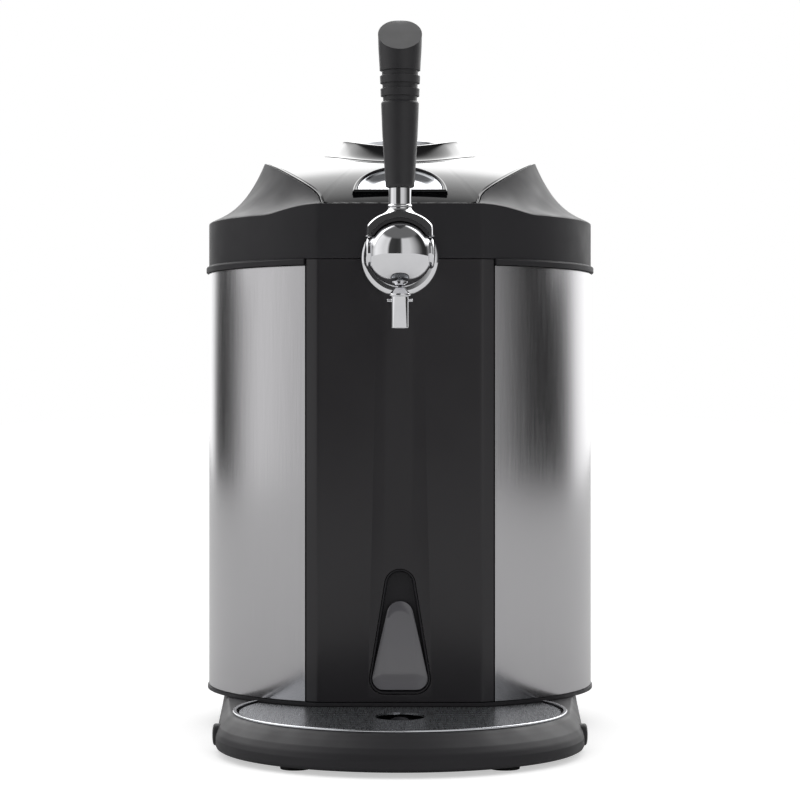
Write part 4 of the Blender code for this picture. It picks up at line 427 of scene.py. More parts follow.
# Cast silicone rubber of the push buttons
SOFT_BUTTON = moulded("silicone_button_black", "#1d1c1f", "#262528", (0.50, 0.60), 0.7, 0.012)
# Nitrile rubber of feet, seal and pad
RUBBER = moulded("nitrile_rubber_black", "#171618", "#201f21", (0.65, 0.80), 1.2, 0.030)
# Unglazed alumina ceramic of the cooling element
CERAMIC = moulded("alumina_ceramic_white", "#e0dfd8", "#efeee8", (0.45, 0.55), 0.9, 0.010)
# Milled and polished steel of the lid's ring and the insert, plated bright
SILVER = metal("bright_plated_trim", "#cfd1d6", "#dddfe3", (0.10, 0.16), grain=3.0)
# Chrome over polished brass: nearly a mirror
CHROME = metal("chrome_over_polished_brass", "#e2e2e5", "#eeeef0", (0.03, 0.05), grain=8.0)
# Cold rolled 430 stainless sheet with a fine satin brushing; hairlines 0.7 mm wide, 45 mm tall
STEEL = metal("satin_brushed_stainless", "#b4b3b5", "#c4c3c5", (0.19, 0.26), (1.0, 1.0, 0.015), 0.7, 0.002)
# Polished 304 stainless of the grate
GRATE_STEEL = metal("polished_stainless", "#bfc2c7", "#cdd0d4", (0.24, 0.32), (1.0, 0.03, 1.0), 0.6)
# Extruded aluminium, lightly etched, of the keg well, cold block and heat sink
ALUMINIUM = metal("etched_aluminium", "#bcbec1", "#cfd1d3", (0.34, 0.44), grain=0.9, depth=0.01)

# %% [markdown]
# ## Foam, lens, board and hose
# Four finishes need something of their own. Foam shows the outlines of its expanded beads, the
# lens is tinted clear plastic with painted shade that darkens it towards the top, the circuit
# board has its copper tracks under green resist, and the beer hose is clear and slightly milky.

# %% Special finishes
FOAM, tree, shader, place = new_finish("expanded_polystyrene_beads")
# Beads are 4 mm across; the cell edges are the seams where they fused
beads = add(tree, "ShaderNodeTexVoronoi", {"Vector": place, "Scale": 250.0}, feature="DISTANCE_TO_EDGE")
seam = add(tree, "ShaderNodeMapRange", {"Value": beads.outputs["Distance"], "From Max": 0.12})
tint = add(
    tree, "ShaderNodeMix", {0: seam.outputs[0], 6: linear("#cfcabb"), 7: linear("#ebe7da")},
    data_type="RGBA",
)
dent = add(tree, "ShaderNodeBump", {"Height": seam.outputs[0], "Distance": 0.0003})
tree.links.new(tint.outputs[2], shader.inputs["Base Color"])
tree.links.new(dent.outputs[0], shader.inputs["Normal"])
shader.inputs["Roughness"].default_value = 0.85

LENS, tree, shader, place = new_finish("smoked_acrylic_lens")
# Acrylic tinted grey, with painted shade: lighter at the foot and darker upwards over 60 mm
rise = add(tree, "ShaderNodeSeparateXYZ", {0: place})
painted_shade_height = add(
    tree, "ShaderNodeMapRange",
    {"Value": rise.outputs["Z"], "From Min": 0.034, "From Max": 0.091, "To Min": 0.0, "To Max": 1.0},
)
shade = add(tree, "ShaderNodeValToRGB", {"Fac": painted_shade_height.outputs[0]})
# Painted shade of the lens, from its lit foot to its shaded top
LENS_PAINTED_SHADE = ((0.0, "#77767a"), (0.14, "#6b6a6d"), (0.55, "#616064"), (1.0, "#58575b"))
paint(shade, [(where, linear(code)) for where, code in LENS_PAINTED_SHADE])
speck = add(tree, "ShaderNodeTexNoise", {"Vector": place, "Scale": 700.0, "Detail": 2.0})
ripple = add(tree, "ShaderNodeBump", {"Height": speck.outputs["Fac"], "Distance": 0.000003})
tree.links.new(shade.outputs["Color"], shader.inputs["Base Color"])
tree.links.new(ripple.outputs[0], shader.inputs["Normal"])
shader.inputs["Roughness"].default_value = 0.16
shader.inputs["Coat Weight"].default_value = 0.5
shader.inputs["Coat Roughness"].default_value = 0.04
shader.inputs["IOR"].default_value = 1.49

BOARD, tree, shader, place = new_finish("green_solder_resist")
# Tracks 1.2 mm apart, drawn as bands broken by cells so that they turn corners
cells = add(tree, "ShaderNodeTexVoronoi", {"Vector": place, "Scale": 180.0}, distance="CHEBYCHEV")
bands = add(
    tree, "ShaderNodeTexWave", {"Vector": cells.outputs["Position"], "Scale": 140.0, "Distortion": 1.5},
)
track = add(tree, "ShaderNodeMapRange", {"Value": bands.outputs["Fac"], "From Min": 0.62, "From Max": 0.70})
tint = add(
    tree, "ShaderNodeMix", {0: track.outputs[0], 6: linear("#1b5232"), 7: linear("#2c7a48")},
    data_type="RGBA",
)
tree.links.new(tint.outputs[2], shader.inputs["Base Color"])
shader.inputs["Roughness"].default_value = 0.35

HOSE, tree, shader, place = new_finish("clear_pvc_hose")
milk = add(tree, "ShaderNodeTexNoise", {"Vector": place, "Scale": 300.0, "Detail": 2.0})
tint = add(
    tree, "ShaderNodeMix", {0: milk.outputs["Fac"], 6: linear("#cdd2cd"), 7: linear("#e4e8e3")},
    data_type="RGBA",
)
tree.links.new(tint.outputs[2], shader.inputs["Base Color"])
shader.inputs["Transmission Weight"].default_value = 0.6
shader.inputs["Roughness"].default_value = 0.22
shader.inputs["IOR"].default_value = 1.52
print("finishes:", ", ".join(sorted(m.name for m in bpy.data.materials if m.use_nodes))[:300])

# %% [markdown]
# ## Finishes on the CAD solids
# Plain shapes such as the grille, the housing and everything inside are already right in the CAD
# model, so they stay and only take a finish. A new piece says which solids it stands for, rides
# on their body, and names the finish's slot, so that all of it moves as the real machine does.


# %% Dressing the solids
SLOTS = {
    "satin_black_abs": SATIN_ABS, "gloss_black_abs": GLOSS_ABS, "handle_soft_black": SOFT_BLACK,
    "soft_black_button": SOFT_BUTTON, "satin_stainless_steel": STEEL,
    "polished_stainless_steel": GRATE_STEEL, "chrome_plated_brass": CHROME, "silver_plated_trim": SILVER,
    "aluminium": ALUMINIUM, "insulation_foam": FOAM, "black_rubber": RUBBER, "smoked_lens": LENS,
    "white_ceramic": CERAMIC, "circuit_board_green": BOARD, "clear_hose": HOSE,
}
for node in frame["nodes"].values():
    for place_in_mesh in node.material_slots:
        slot_name = place_in_mesh.material.name.split(".")[0]
        place_in_mesh.material = SLOTS[slot_name]


def dress(piece, slot_name, *nodes, surface=None):
    """The piece stands for the nodes, rides on their body and takes the slot's finish."""
    piece.data.materials.clear()
    piece.data.materials.append(surface or SLOTS[slot_name])
    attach(piece, frame["nodes"][nodes[0]]["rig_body"])
    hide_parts(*nodes)
    print(f"{piece.name}: {len(piece.data.polygons)} faces for {', '.join(nodes)}")
    return piece

# %% [markdown]
# ## The base
# The foot is one hollow moulding. Seen from above its outline is a string pulled tight round
# discs: a wide one under the drip tray, one under the cabinet, and two small ones at the rear
# corners. The point of such an outline for a direction n is c + r n of the disc that reaches
# furthest along n. Stacked levels with a little more or less spread give the rounded side.


# %% Base shell
BODY_RADIUS, FRONT_FLAT = 0.1296, 0.1186
TRAY_RADIUS, TRAY_Y = 0.1013, -0.140
BASE_BOTTOM, BASE_TOP = 0.0025, 0.0242
POCKET_FLOOR = 0.0060
GAP = 0.0003


def hull(discs, count=420):
    """Common outline of discs (x, y, radius): for each direction n the point c + r n that is
    furthest along n."""
    angle = np.arange(count) / count * TURN
    way = np.stack((np.cos(angle), np.sin(angle)), axis=1)
    discs = np.array(discs)
    best = np.argmax(way @ discs[:, :2].T + discs[:, 2], axis=1)
    return discs[best, :2] + way * discs[best, 2:3]


def base_level(spread):
    """The four discs of one level of the foot, and the outline round them."""
    front = TRAY_RADIUS + 0.005 + 0.008 * spread
    reach = 0.264 - 0.018 * (1 - spread)
    rear = 0.016 - 0.002 * (1 - spread)
    cabinet = 0.1176 + 0.003 * spread
    return hull([(0, front - reach, front), (0, 0, cabinet), (0.054, 0.140, rear), (-0.054, 0.140, rear)])


def arc(centre, radius, start, end, count):
    """Points of a circle: centre + radius (cos a, sin a) for a from start to end degrees."""
    angle = np.radians(np.linspace(start, end, count))
    return np.array(centre) + radius * np.stack((np.cos(angle), np.sin(angle)), axis=1)


def crescent(radius, margin=0.0, count=160):
    """Plan of the tray: a disc in front of the cabinet, cut off by the cabinet's own outline."""
    body = BODY_RADIUS + 0.0033 + margin
    flat = FRONT_FLAT + 0.0015 + margin
    tip_y = (radius**2 - body**2 - TRAY_Y**2) / (-2 * TRAY_Y)
    tip = math.degrees(math.asin((tip_y - TRAY_Y) / radius))
    meet = math.degrees(math.asin(flat / body))
    tip_body = math.degrees(math.asin(-tip_y / body))
    front = arc((0, TRAY_Y), radius, 180 - tip, 360 + tip, count)
    right = arc((0, 0), body, -tip_body, -meet, 12)[1:]
    left = arc((0, 0), body, 180 + meet, 180 + tip_body, 12)[:-1]
    return np.concatenate((front, right, left))


# How far the side stands out at a share of the height
shares = np.array((
    (0, 0.5), (0.03, 0.78), (0.07, 0.92), (0.14, 1), (0.25, 1.02), (0.36, 1), (0.5, 0.9), (0.66, 0.7),
    (0.82, 0.4), (0.93, 0.17), (0.98, 0.04), (1, -0.08),
))
rise = np.unique(np.concatenate((np.linspace(0, 1, 25), shares[:, 0])))
spread = np.interp(rise, shares[:, 0], shares[:, 1])
levels = []
for high, wide in zip(rise, spread):
    ring = base_level(min(wide, 1.0))
    levels.append(np.column_stack((ring, np.full(len(ring), BASE_BOTTOM + high * (BASE_TOP - BASE_BOTTOM)))))
base = skin("base_moulding", np.stack(levels), caps=True, sharp=50)
plan = crescent(TRAY_RADIUS + GAP, -GAP)
pocket = extruded("pocket", plan, ((POCKET_FLOOR, 0), (BASE_TOP + 0.003, 0)))
bay = turned("bay", ((0, POCKET_FLOOR), (0.110, POCKET_FLOOR), (0.110, 0.03), (0, 0.03)), loop=False)
dress(cut_out(base, pocket, bay, sharp=40), "satin_black_abs", "base_shell")

# %% [markdown]
# ## Feet, push buttons and the tray's bright rim
# The feet are turned rubber discs with a rounded edge. A round push button at each side of the
# foot lets go of the drip tray. A half round bright strip frames the tray and ends at the cabinet.

# %% Small pieces of the foot
for name, x, y in (("front_left", -0.062, -0.222), ("front_right", 0.062, -0.222),
                   ("rear_left", -0.052, 0.136), ("rear_right", 0.052, 0.136)):
    profile = ((0, 0), (0.009, 0), (0.009, 0.0022), (0, 0.0022))
    foot = turned(f"rubber_foot_{name}", profile, (0, 0.0007, 0.0004, 0), (x, y, 0), sides=64, loop=False)
    dress(foot, "black_rubber", f"foot_{name}")
for name, way in (("left", -1), ("right", 1)):
    low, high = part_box(f"side_button_{name}")
    tip, root = (low.x, high.x) if way < 0 else (high.x, low.x)
    rim, face = tip - way * 0.0009, tip - way * 0.0002
    profile = ((0, root), (0.0068, root), (0.0068, rim), (0.0046, face), (0, tip))
    centre = (0, (low.y + high.y) / 2 - AXIS_Y, (low.z + high.z) / 2)
    button = turned(
        f"push_button_{name}", profile, (0, 0.0004, 0.0010, 0.0012, 0), centre, "X", 72, False,
    )
    dress(button, "soft_black_button", f"side_button_{name}")

RIM_INNER, RIM_WIDTH, RIM_HEIGHT = 0.1019, 0.0024, 0.0011
outer_body = BODY_RADIUS + 0.0018
middle = RIM_INNER + RIM_WIDTH / 2
tip_y = (middle**2 - outer_body**2 - TRAY_Y**2) / (-2 * TRAY_Y)
tip = math.degrees(math.asin((tip_y - TRAY_Y) / middle)) - 0.4
section = ((0, 0), (RIM_WIDTH, 0), (RIM_WIDTH, RIM_HEIGHT), (0, RIM_HEIGHT))
section = rounded(section, (0.0001, 0.0001, 0.0007, 0.0007))
angle = np.radians(np.linspace(180 - tip, 360 + tip, 220))[:, None]
radius = RIM_INNER + section[None, :, 0]
rise = np.broadcast_to(BASE_TOP + GAP + section[None, :, 1], (len(angle), len(section)))
strip = np.stack((radius * np.cos(angle), TRAY_Y + radius * np.sin(angle), rise), axis=-1)
dress(skin("tray_rim_strip", strip, caps=True, sharp=60), "silver_plated_trim", "tray_rim")

# %% [markdown]
# ## Steel panels and front panel
# Each steel side is a rolled sheet, 1.4 mm thick with its hem, whose edges tuck behind a groove
# beside the front panel. The front panel is flat in the middle and turns back round the cabinet
# at a soft crease 52 mm to each side. Both are plans carried upwards with rounded edges.

# %% Cabinet sides
WALL_BOTTOM, WALL_TOP, SHEET = 0.0269, 0.3042, 0.0014
NOTCH, HOUSING_EDGE = 0.0604, 0.0706
begin = math.degrees(math.asin(NOTCH / BODY_RADIUS))
finish = 180 - math.degrees(math.asin(HOUSING_EDGE / (BODY_RADIUS - SHEET)))
for name, way in (("left", -1), ("right", 1)):
    around = np.radians(np.linspace(begin, finish, 150))
    outer = np.stack((way * np.sin(around), -np.cos(around)), axis=1) * BODY_RADIUS
    inner = outer[::-1] * (BODY_RADIUS - SHEET) / BODY_RADIUS
    plan = np.concatenate((outer, inner))
    sheet = extruded(f"steel_side_{name}", plan, edged(WALL_BOTTOM, WALL_TOP, 0.0004, 3))
    dress(sheet, "satin_stainless_steel", f"steel_panel_{name}")

# %% Front panel
PANEL_HALF, PANEL_TOP = 0.0595, 0.3081
CORNER_X = math.sqrt(BODY_RADIUS**2 - FRONT_FLAT**2)
TAP_HEIGHT = 0.3084


def panel_face(x, depth=0.0):
    """y of the front at x: the flat -f in the middle and the circle -sqrt(R^2 - x^2) beyond the
    crease, joined by a smooth maximum m = (a + b + sqrt((a - b)^2 + s^2)) / 2."""
    circle = -np.sqrt(BODY_RADIUS**2 - x**2)
    return (circle - FRONT_FLAT + np.sqrt((circle + FRONT_FLAT) ** 2 + 0.0003**2)) / 2 + depth


def teardrop(margin, bottom, height, half_width, top_radius, corner, steps=24):
    """The window's outline: a round top, straight sides that spread, a broad foot with round
    corners. Moved inwards by the margin."""
    top_radius -= margin
    corner -= margin
    half_width -= margin
    low = bottom + margin
    top = bottom + height - margin - top_radius
    lean = math.degrees(math.atan2(half_width - top_radius, top - low - corner))
    head = arc((0, top), top_radius, lean, 180 - lean, 2 * steps)
    foot = half_width - corner
    left = arc((-foot, low + corner), corner, 180 - lean, 270, steps)
    right = arc((foot, low + corner), corner, -90, lean, steps)
    return np.concatenate((head, left, right))


def shank_hole():
    """Cutter for the hole in which the tap's shank passes through the front."""
    profile = ((0, -0.13), (0.0073, -0.13), (0.0073, -0.11), (0, -0.11))
    return turned("shank_hole", profile, 0, (0, 0, TAP_HEIGHT), "Y", 48, False)


# Bottom, height, half width, top radius and corner radius
WINDOW = (0.0318, 0.0798, 0.0197, 0.0100, 0.0100)
x = np.concatenate((
    np.linspace(-PANEL_HALF, -CORNER_X - 0.004, 8), np.linspace(-CORNER_X - 0.003, -CORNER_X + 0.003, 15),
    np.linspace(-CORNER_X + 0.004, 0, 8),
))
x = np.concatenate((x, -x[-2::-1]))
back = x[::-1]
plan = np.concatenate((np.column_stack((x, panel_face(x))), np.column_stack((back, panel_face(back, 0.003)))))
panel = extruded("front_fascia", plan, edged(WALL_BOTTOM, PANEL_TOP, 0.0006, 4), sharp=40)
hole = extruded("window_hole", teardrop(0, *WINDOW), ((-0.125, 0), (-0.110, 0)), "front")
panel = cut_out(panel, hole, shank_hole(), sharp=40)
dress(panel, "satin_black_abs", "front_panel", surface=PANEL_ABS)

# %% [markdown]
# ## The window
# Below the tap a teardrop shaped dish is sunk into the panel, and a smoked lens with a flat face
# fills its foot. The lens is one blend between two outlines: the teardrop at its edge and a
# narrower, almost square plateau on its face, which gives the bright bevels.

# %% Window dish and lens
rows = (
    (-0.1093, 0.0003), (-0.1178, 0.0003), (-0.1182, 0.0005), (-0.1183, 0.0008), (-0.1182, 0.0012),
    (-0.1178, 0.0014), (-0.1150, 0.0018), (-0.1130, 0.0022), (-0.1128, 0.0030),
)
dish = extruded("window_recess", teardrop(0, *WINDOW), rows, "front", sharp=50)
dress(dish, "satin_black_abs", "window_dish")

LENS_SHAPE = (0.0344, 0.0565, 0.0178, 0.0085, 0.0075)
edge = teardrop(0, *LENS_SHAPE)
count = len(edge)
plateau = teardrop(0, 0.0440, 0.0420, 0.0110, 0.0090, 0.0030)
rows = []
for depth, blend, drop in ((-0.1131, 0, 0), (-0.1160, 0, 0), (-0.1165, 0, 0.0002), (-0.1167, 0, 0.0006),
                           (-0.1170, 0.5, 0.0003), (-0.1173, 1, 0), (-0.1173, 1, 0.002)):
    ring = inset(edge * (1 - blend) + plateau * blend, drop)
    rows.append(np.column_stack((ring[:, 0], np.full(count, depth), ring[:, 1])))
dress(skin("smoked_lens_cover", np.stack(rows), caps=True, sharp=25), "smoked_lens", "window_lens")

# %% [markdown]
# ## The collar
# The black collar rises from the steel in a hollow slope to a sharp ridge that the lid fits
# into. The ridge lies where two surfaces meet: the lid's arch, highest in the middle and falling
# to the front and the back, and the slope, which climbs as it runs inwards. For each direction
# seen from above, halving the interval forty times finds that radius for all directions at once.

# %% Ways round the cabinet
SEAM, FRONT_SEAM, COLLAR_TOP, LIP = 0.3045, 0.3084, 0.3378, 0.0018
FRONT_EDGE, BEND_Y, CROWN, SIDE_DROP, HORN, RIM = 0.3433, 0.1083, 0.3855, 0.0068, 0.092, 0.0012
LEDGE_TOP, LEDGE_BOTTOM, SKIN = 0.3295, 0.3280, 0.0026
corner = math.atan2(CORNER_X, FRONT_FLAT)
notch = math.asin(NOTCH / BODY_RADIUS)
turns = np.concatenate((
    np.linspace(0, corner - 0.03, 24), np.linspace(corner - 0.024, corner + 0.024, 9),
    (notch - 0.004, notch, notch + 0.0004), np.linspace(notch + 0.012, math.pi, 150),
))
turns = np.concatenate((turns, -turns[-2:0:-1]))
WAY_X, WAY_Y = np.sin(turns), -np.cos(turns)


def vault(x, y):
    """The lid's arch: crown - fall (y / bend)^2 - drop (x / horn)^2, never below the front edge."""
    fall = (CROWN - FRONT_EDGE) * (y / BEND_Y) ** 2 + SIDE_DROP * (x / HORN) ** 2
    return np.maximum(CROWN - fall, FRONT_EDGE)


def climb(share):
    """How far up the collar's slope is for a share s of the way inwards: 0.4 s + 0.6 s^3."""
    return 0.4 * share + 0.6 * share**3


def wall_radius(radius=BODY_RADIUS):
    """Distance of the outer wall on each way: the circle, or the flat front f / cos a, whichever is
    less, with a soft corner."""
    flat = (FRONT_FLAT + radius - BODY_RADIUS) / np.maximum(-WAY_Y, 0.2)
    return (flat + radius - np.sqrt((flat - radius) ** 2 + 0.0006**2)) / 2


def wall_top(radius):
    """Height of the outer edge: level, and rising with s^2 (3 - 2s) towards the front."""
    share = np.clip((-WAY_Y * radius - 0.094) / (FRONT_FLAT - 0.094), 0, 1)
    return COLLAR_TOP + (FRONT_EDGE - COLLAR_TOP) * share**2 * (3 - 2 * share)


def ridge_radius():
    """Radius where the climbing slope meets the arch, found by halving; at most the wall less the
    rim, and at the rear no further than y = 0.104."""
    wall = wall_radius()
    far = wall - RIM
    far = np.where(WAY_Y > 0, np.minimum(far, 0.104 / np.maximum(WAY_Y, 0.05)), far)

    def above(radius):
        way_in = np.maximum(BODY_RADIUS - radius, 0) / (BODY_RADIUS - HORN)
        flare = COLLAR_TOP + (vault(HORN, 0) - COLLAR_TOP) * climb(way_in)
        return flare - vault(WAY_X * radius, WAY_Y * radius)

    low, high = np.full(len(far), HORN * 0.6), far.copy()
    for _ in range(40):
        middle = (low + high) / 2
        inside = above(middle) > 0
        low, high = np.where(inside, middle, low), np.where(inside, high, middle)
    return np.where(above(far) >= 0, far, low)


def ring(radius, height):
    """One row of points, with a radius and a height on each way."""
    return np.stack((WAY_X * radius, WAY_Y * radius, np.broadcast_to(height, WAY_X.shape)), axis=1)


WALL, RIDGE = wall_radius(), ridge_radius()
print(f"ridge from {RIDGE.min():.4f} to {RIDGE.max():.4f} m, {len(turns)} ways round")

# %% Collar
in_notch = np.abs(turns) <= notch + 1e-6
foot = np.where(in_notch, FRONT_SEAM, SEAM)
lip = np.where(in_notch, 0.0, 1.0)
edge_top = wall_top(WALL)
ridge_top = vault(WAY_X * RIDGE, WAY_Y * RIDGE)
# The lip's section: how far it stands out, as a share, and how high
BEAD = ((0.0, 0.0), (0.85, 0.0), (1.0, 0.0003), (1.0, 0.0030), (0.80, 0.0037), (0.35, 0.0041), (0.0, 0.0044))
rows = [ring(WALL + LIP * lip * out, foot + np.where(in_notch, up * 0.1, up)) for out, up in BEAD]
rows.append(ring(WALL, edge_top - 0.0012))
for share in np.concatenate((np.linspace(0, 0.06, 4), np.linspace(0.1, 0.94, 22), np.linspace(0.96, 1.0, 4))):
    radius = WALL + (RIDGE - WALL) * share
    soft = 0.0011 * max(0.0, 1 - share / 0.06) ** 2
    rows.append(ring(radius - soft * 0.1, edge_top + (ridge_top - edge_top) * climb(share) - soft * 0.4))
inner = RIDGE - RIM
rows += [
    ring(RIDGE - 0.0003, ridge_top), ring(RIDGE - 0.0008, ridge_top - 0.0001),
    ring(inner, ridge_top - 0.0007), ring(inner, ridge_top - 0.0016), ring(inner, LEDGE_TOP),
    ring(0.090, LEDGE_TOP), ring(0.090, LEDGE_BOTTOM), ring(WALL - SKIN, LEDGE_BOTTOM), ring(WALL - SKIN, foot),
]
collar = skin("collar_moulding", np.stack(rows), loop=True, sharp=24)
pocket_low = ((-0.038, 0.0988), (0.038, 0.0988), (0.038, 0.1185), (-0.038, 0.1185))
pocket = extruded("hinge_pocket", np.array(pocket_low), ((0.3380, 0), (0.39, 0)))
profile = ((0, 0.30), (0.0038, 0.30), (0.0038, 0.335), (0, 0.335))
hose = turned("hose_hole", profile, 0, (0, -0.1035, 0), sides=32, loop=False)
dress(cut_out(collar, pocket, shank_hole(), hose, sharp=24), "satin_black_abs", "collar")

# %% [markdown]
# ## The lid
# The lid is one polished shell that follows the arch, with a skirt that drops into the collar
# and leans inwards so that it clears the rim as it swings up. Two tongues carry the hinge.

# %% Lid
edge = RIDGE - RIM - 0.0006
rows = []
for share in np.concatenate((np.linspace(0.0, 0.9, 30), np.linspace(0.92, 0.985, 6))):
    radius = edge * share
    rows.append(ring(radius, vault(WAY_X * radius, WAY_Y * radius)))
edge_height = vault(WAY_X * edge, WAY_Y * edge)
# The edge's rounding, then the skirt: how far inwards and how far down
SKIRT = ((0.0010, 0.0), (0.0004, 0.0002), (0.0001, 0.0006), (0.0, 0.0012), (0.002, 0.008), (0.005, 0.008))
for back, drop in SKIRT:
    rows.append(ring(edge - back, edge_height - drop))
inside = edge - 0.003
for share in (1.0, 0.9, 0.7, 0.4, 0.0):
    radius = inside * share
    rows.append(ring(radius, vault(WAY_X * radius, WAY_Y * radius) - 0.003))
lid = skin("lid_arch", np.stack(rows), sharp=28)

GRIP_FRONT, GRIP_BACK, GRIP_HALF = -0.0985, -0.0655, 0.0307
grip_rise = float(vault(0, GRIP_BACK) - vault(0, GRIP_FRONT))
grip_length = math.hypot(GRIP_BACK - GRIP_FRONT, grip_rise)
grip_tilt = math.atan2(grip_rise, GRIP_BACK - GRIP_FRONT)
grip_middle = float(vault(0, GRIP_BACK) + vault(0, GRIP_FRONT)) / 2


def half_moon(margin, steps=96):
    """Straight front edge and a half ellipse behind it, moved inwards by the margin."""
    turn = np.linspace(0, math.pi, steps)
    wide, deep = GRIP_HALF - margin, grip_length - 2 * margin
    return np.stack((wide * np.cos(turn), deep * np.sin(turn) - grip_length / 2 + margin), axis=1)


def on_slope(rows):
    """Turns rows of (across, up the slope, out of it) into the lid's slope: y and z of the chord's
    middle plus the two axes of the tilted plane."""
    grid = np.stack(rows)
    c, s = math.cos(grip_tilt), math.sin(grip_tilt)
    y = (GRIP_FRONT + GRIP_BACK) / 2 + grid[..., 1] * c - grid[..., 2] * s
    return np.stack((grid[..., 0], y, grip_middle + grid[..., 1] * s + grid[..., 2] * c), axis=-1)


def moon_row(margin, rise):
    ring = half_moon(margin)
    return np.column_stack((ring, np.full(len(ring), rise)))


opening = skin("grip_opening", on_slope([moon_row(0, -0.0064), moon_row(0, 0.006)]), caps=True)
lid = cut_out(lid, opening, sharp=28)
HINGE = (0, 0.1105, 0.3455)
for way in (-1, 1):
    x0, x1 = sorted((way * 0.0188, way * 0.034))
    plan = np.array(((x0, 0.0985), (x1, 0.0985), (x1, HINGE[1]), (x0, HINGE[1])))
    tongue = extruded("tongue", plan, edged(0.3430, 0.3480, 0.0004, 3))
    profile = ((0.0023, x0), (0.0045, x0), (0.0045, x1), (0.0023, x1))
    knuckle = turned("knuckle", profile, (0, 0.0005, 0.0005, 0), HINGE, "X", 48)
    lid = cut_out(lid, tongue, knuckle, sharp=28, operation="UNION")
profile = ((0, -0.036), (0.0023, -0.036), (0.0023, 0.036), (0, 0.036))
bore = turned("bore", profile, 0, HINGE, "X", 40, False)
dress(cut_out(lid, bore, sharp=28), "gloss_black_abs", "lid_shell")

# %% [markdown]
# ## The grip and the dial
# A half moon frame in the slope holds a bright plate, dished like a coin, under which the fingers
# lift the lid. The dial stands on the crown: a hollow sided base, a bright ring that turns to set
# the temperature, and a button in its middle.

# %% Grip
# Pairs of margin and rise: up the outer wall, round its edge, across the top, down inside
GRIP_FLOOR, GRIP_EDGE, GRIP_ROUND = -0.0034, 0.0014, 0.0012
rows = [moon_row(GAP, GRIP_FLOOR), moon_row(GAP, GRIP_EDGE)]
for t in np.linspace(0.2, 1.57, 5):
    rows.append(moon_row(GAP + GRIP_ROUND * (1 - math.cos(t)), GRIP_EDGE + GRIP_ROUND * math.sin(t)))
for margin, rise in ((0.0024, 0.0026), (0.0028, 0.0024), (0.0030, 0.0019), (0.0030, GRIP_FLOOR)):
    rows.append(moon_row(margin, rise))
frame_piece = skin("grip_frame", on_slope(rows), loop=True, sharp=40)
dress(frame_piece, "gloss_black_abs", "grip_bezel")

PLATE_RIM = (
    (0.0033, GRIP_FLOOR), (0.0033, 0.0010), (0.0036, 0.0014), (0.0043, 0.0014), (0.0048, 0.0011),
    (0.0052, 0.0004),
)
rows = [moon_row(margin, rise) for margin, rise in PLATE_RIM]
for t in np.linspace(0.1, 1.0, 9):
    rows.append(moon_row(0.0052 + 0.0085 * t, 0.0004 - 0.0022 * math.sin(t * math.pi / 2)))
rows.append(moon_row(0.0150, -0.0017))
dress(skin("grip_plate", on_slope(rows), caps=True, sharp=40), "silver_plated_trim", "grip_insert")

# %% Dial
DIAL_BASE, DIAL_TOP_RADIUS, DIAL_TOP, DIAL_DROP, DIAL_FLOOR = 0.052, 0.0393, 0.394, 0.0066, 0.3872


def dial_row(radius, blend, lift=0.0):
    """Row between the lid's arch at blend 0 and the rim's surface, top - drop (y / r)^2, at 1."""
    x, y = WAY_X * radius, WAY_Y * radius
    low = vault(x, y) + 0.0003
    high = DIAL_TOP - DIAL_DROP * (y / DIAL_TOP_RADIUS) ** 2
    return ring(radius, low + (high - low) * blend + lift)


waist = np.array(((1.0, 0.0), (0.93, 0.12), (0.84, 0.40), (0.775, 0.80), (0.756, 1.0)))
share = np.linspace(0, 1, 22)
knots = np.linspace(0, 1, len(waist))
rows = [ring(0.0, vault(0.0, 0.0) + 0.0003), dial_row(DIAL_BASE, 0)]
fit = np.polyfit(knots, waist, 3)
for t in share[1:]:
    wide, high = (np.array([t**3, t**2, t, 1]) @ fit).tolist()
    rows.append(dial_row(DIAL_BASE * wide, min(max(high, 0.0), 1.0), -0.0006 * max(0.0, t - 0.95) / 0.05))
RIM_TOP = ((0.0390, -0.0001), (0.0384, 0.0), (0.0362, 0.0), (0.0357, -0.0002), (0.0355, -0.0008))
rows += [dial_row(radius, 1, lift) for radius, lift in RIM_TOP]
rows += [ring(0.0352, DIAL_FLOOR), ring(0.0, DIAL_FLOOR)]
dress(skin("dial_housing", np.stack(rows), sharp=28), "gloss_black_abs", "dial_bezel")

profile = ((0.0200, 0.3922), (0.0315, 0.3922), (0.0315, 0.3875), (0.0200, 0.3875))
knob = turned("dial_turning_ring", profile, (0.0004, 0.0010, 0.0002, 0), sides=180)
dress(knob, "silver_plated_trim", "dial_ring")
profile = ((0, 0.3890), (0.0195, 0.3890), (0.0195, 0.3938), (0.0100, 0.3934), (0, 0.3931))
press = turned("dial_push_button", profile, (0, 0.0003, 0.0012, 0.0040, 0), sides=128, loop=False)
dress(press, "silver_plated_trim", "dial_button")

# %% [markdown]
# ## The tap
# The tap is chromed brass: a wall flange with a rolled edge, a ball with a pivot boss at each
# side, and a spout. An arch over the ball rocks with the black handle. Every part of it is turned
# on a lathe in reality, and so here. The handle's slanted top is one plane across the turned form.

# %% Tap body
TAP_Y, BALL, NECK, SHANK = -0.172, 0.0203, 0.0088, 0.0073
profile = ((SHANK, -0.1189), (0.0247, -0.1189), (0.0247, -0.1249), (SHANK, -0.1249))
flange = turned("wall_flange", profile, (0, 0.0005, 0.0034, 0.0002), (0, 0, TAP_HEIGHT), "Y", 160)
dress(flange, "chrome_plated_brass", "tap_flange")

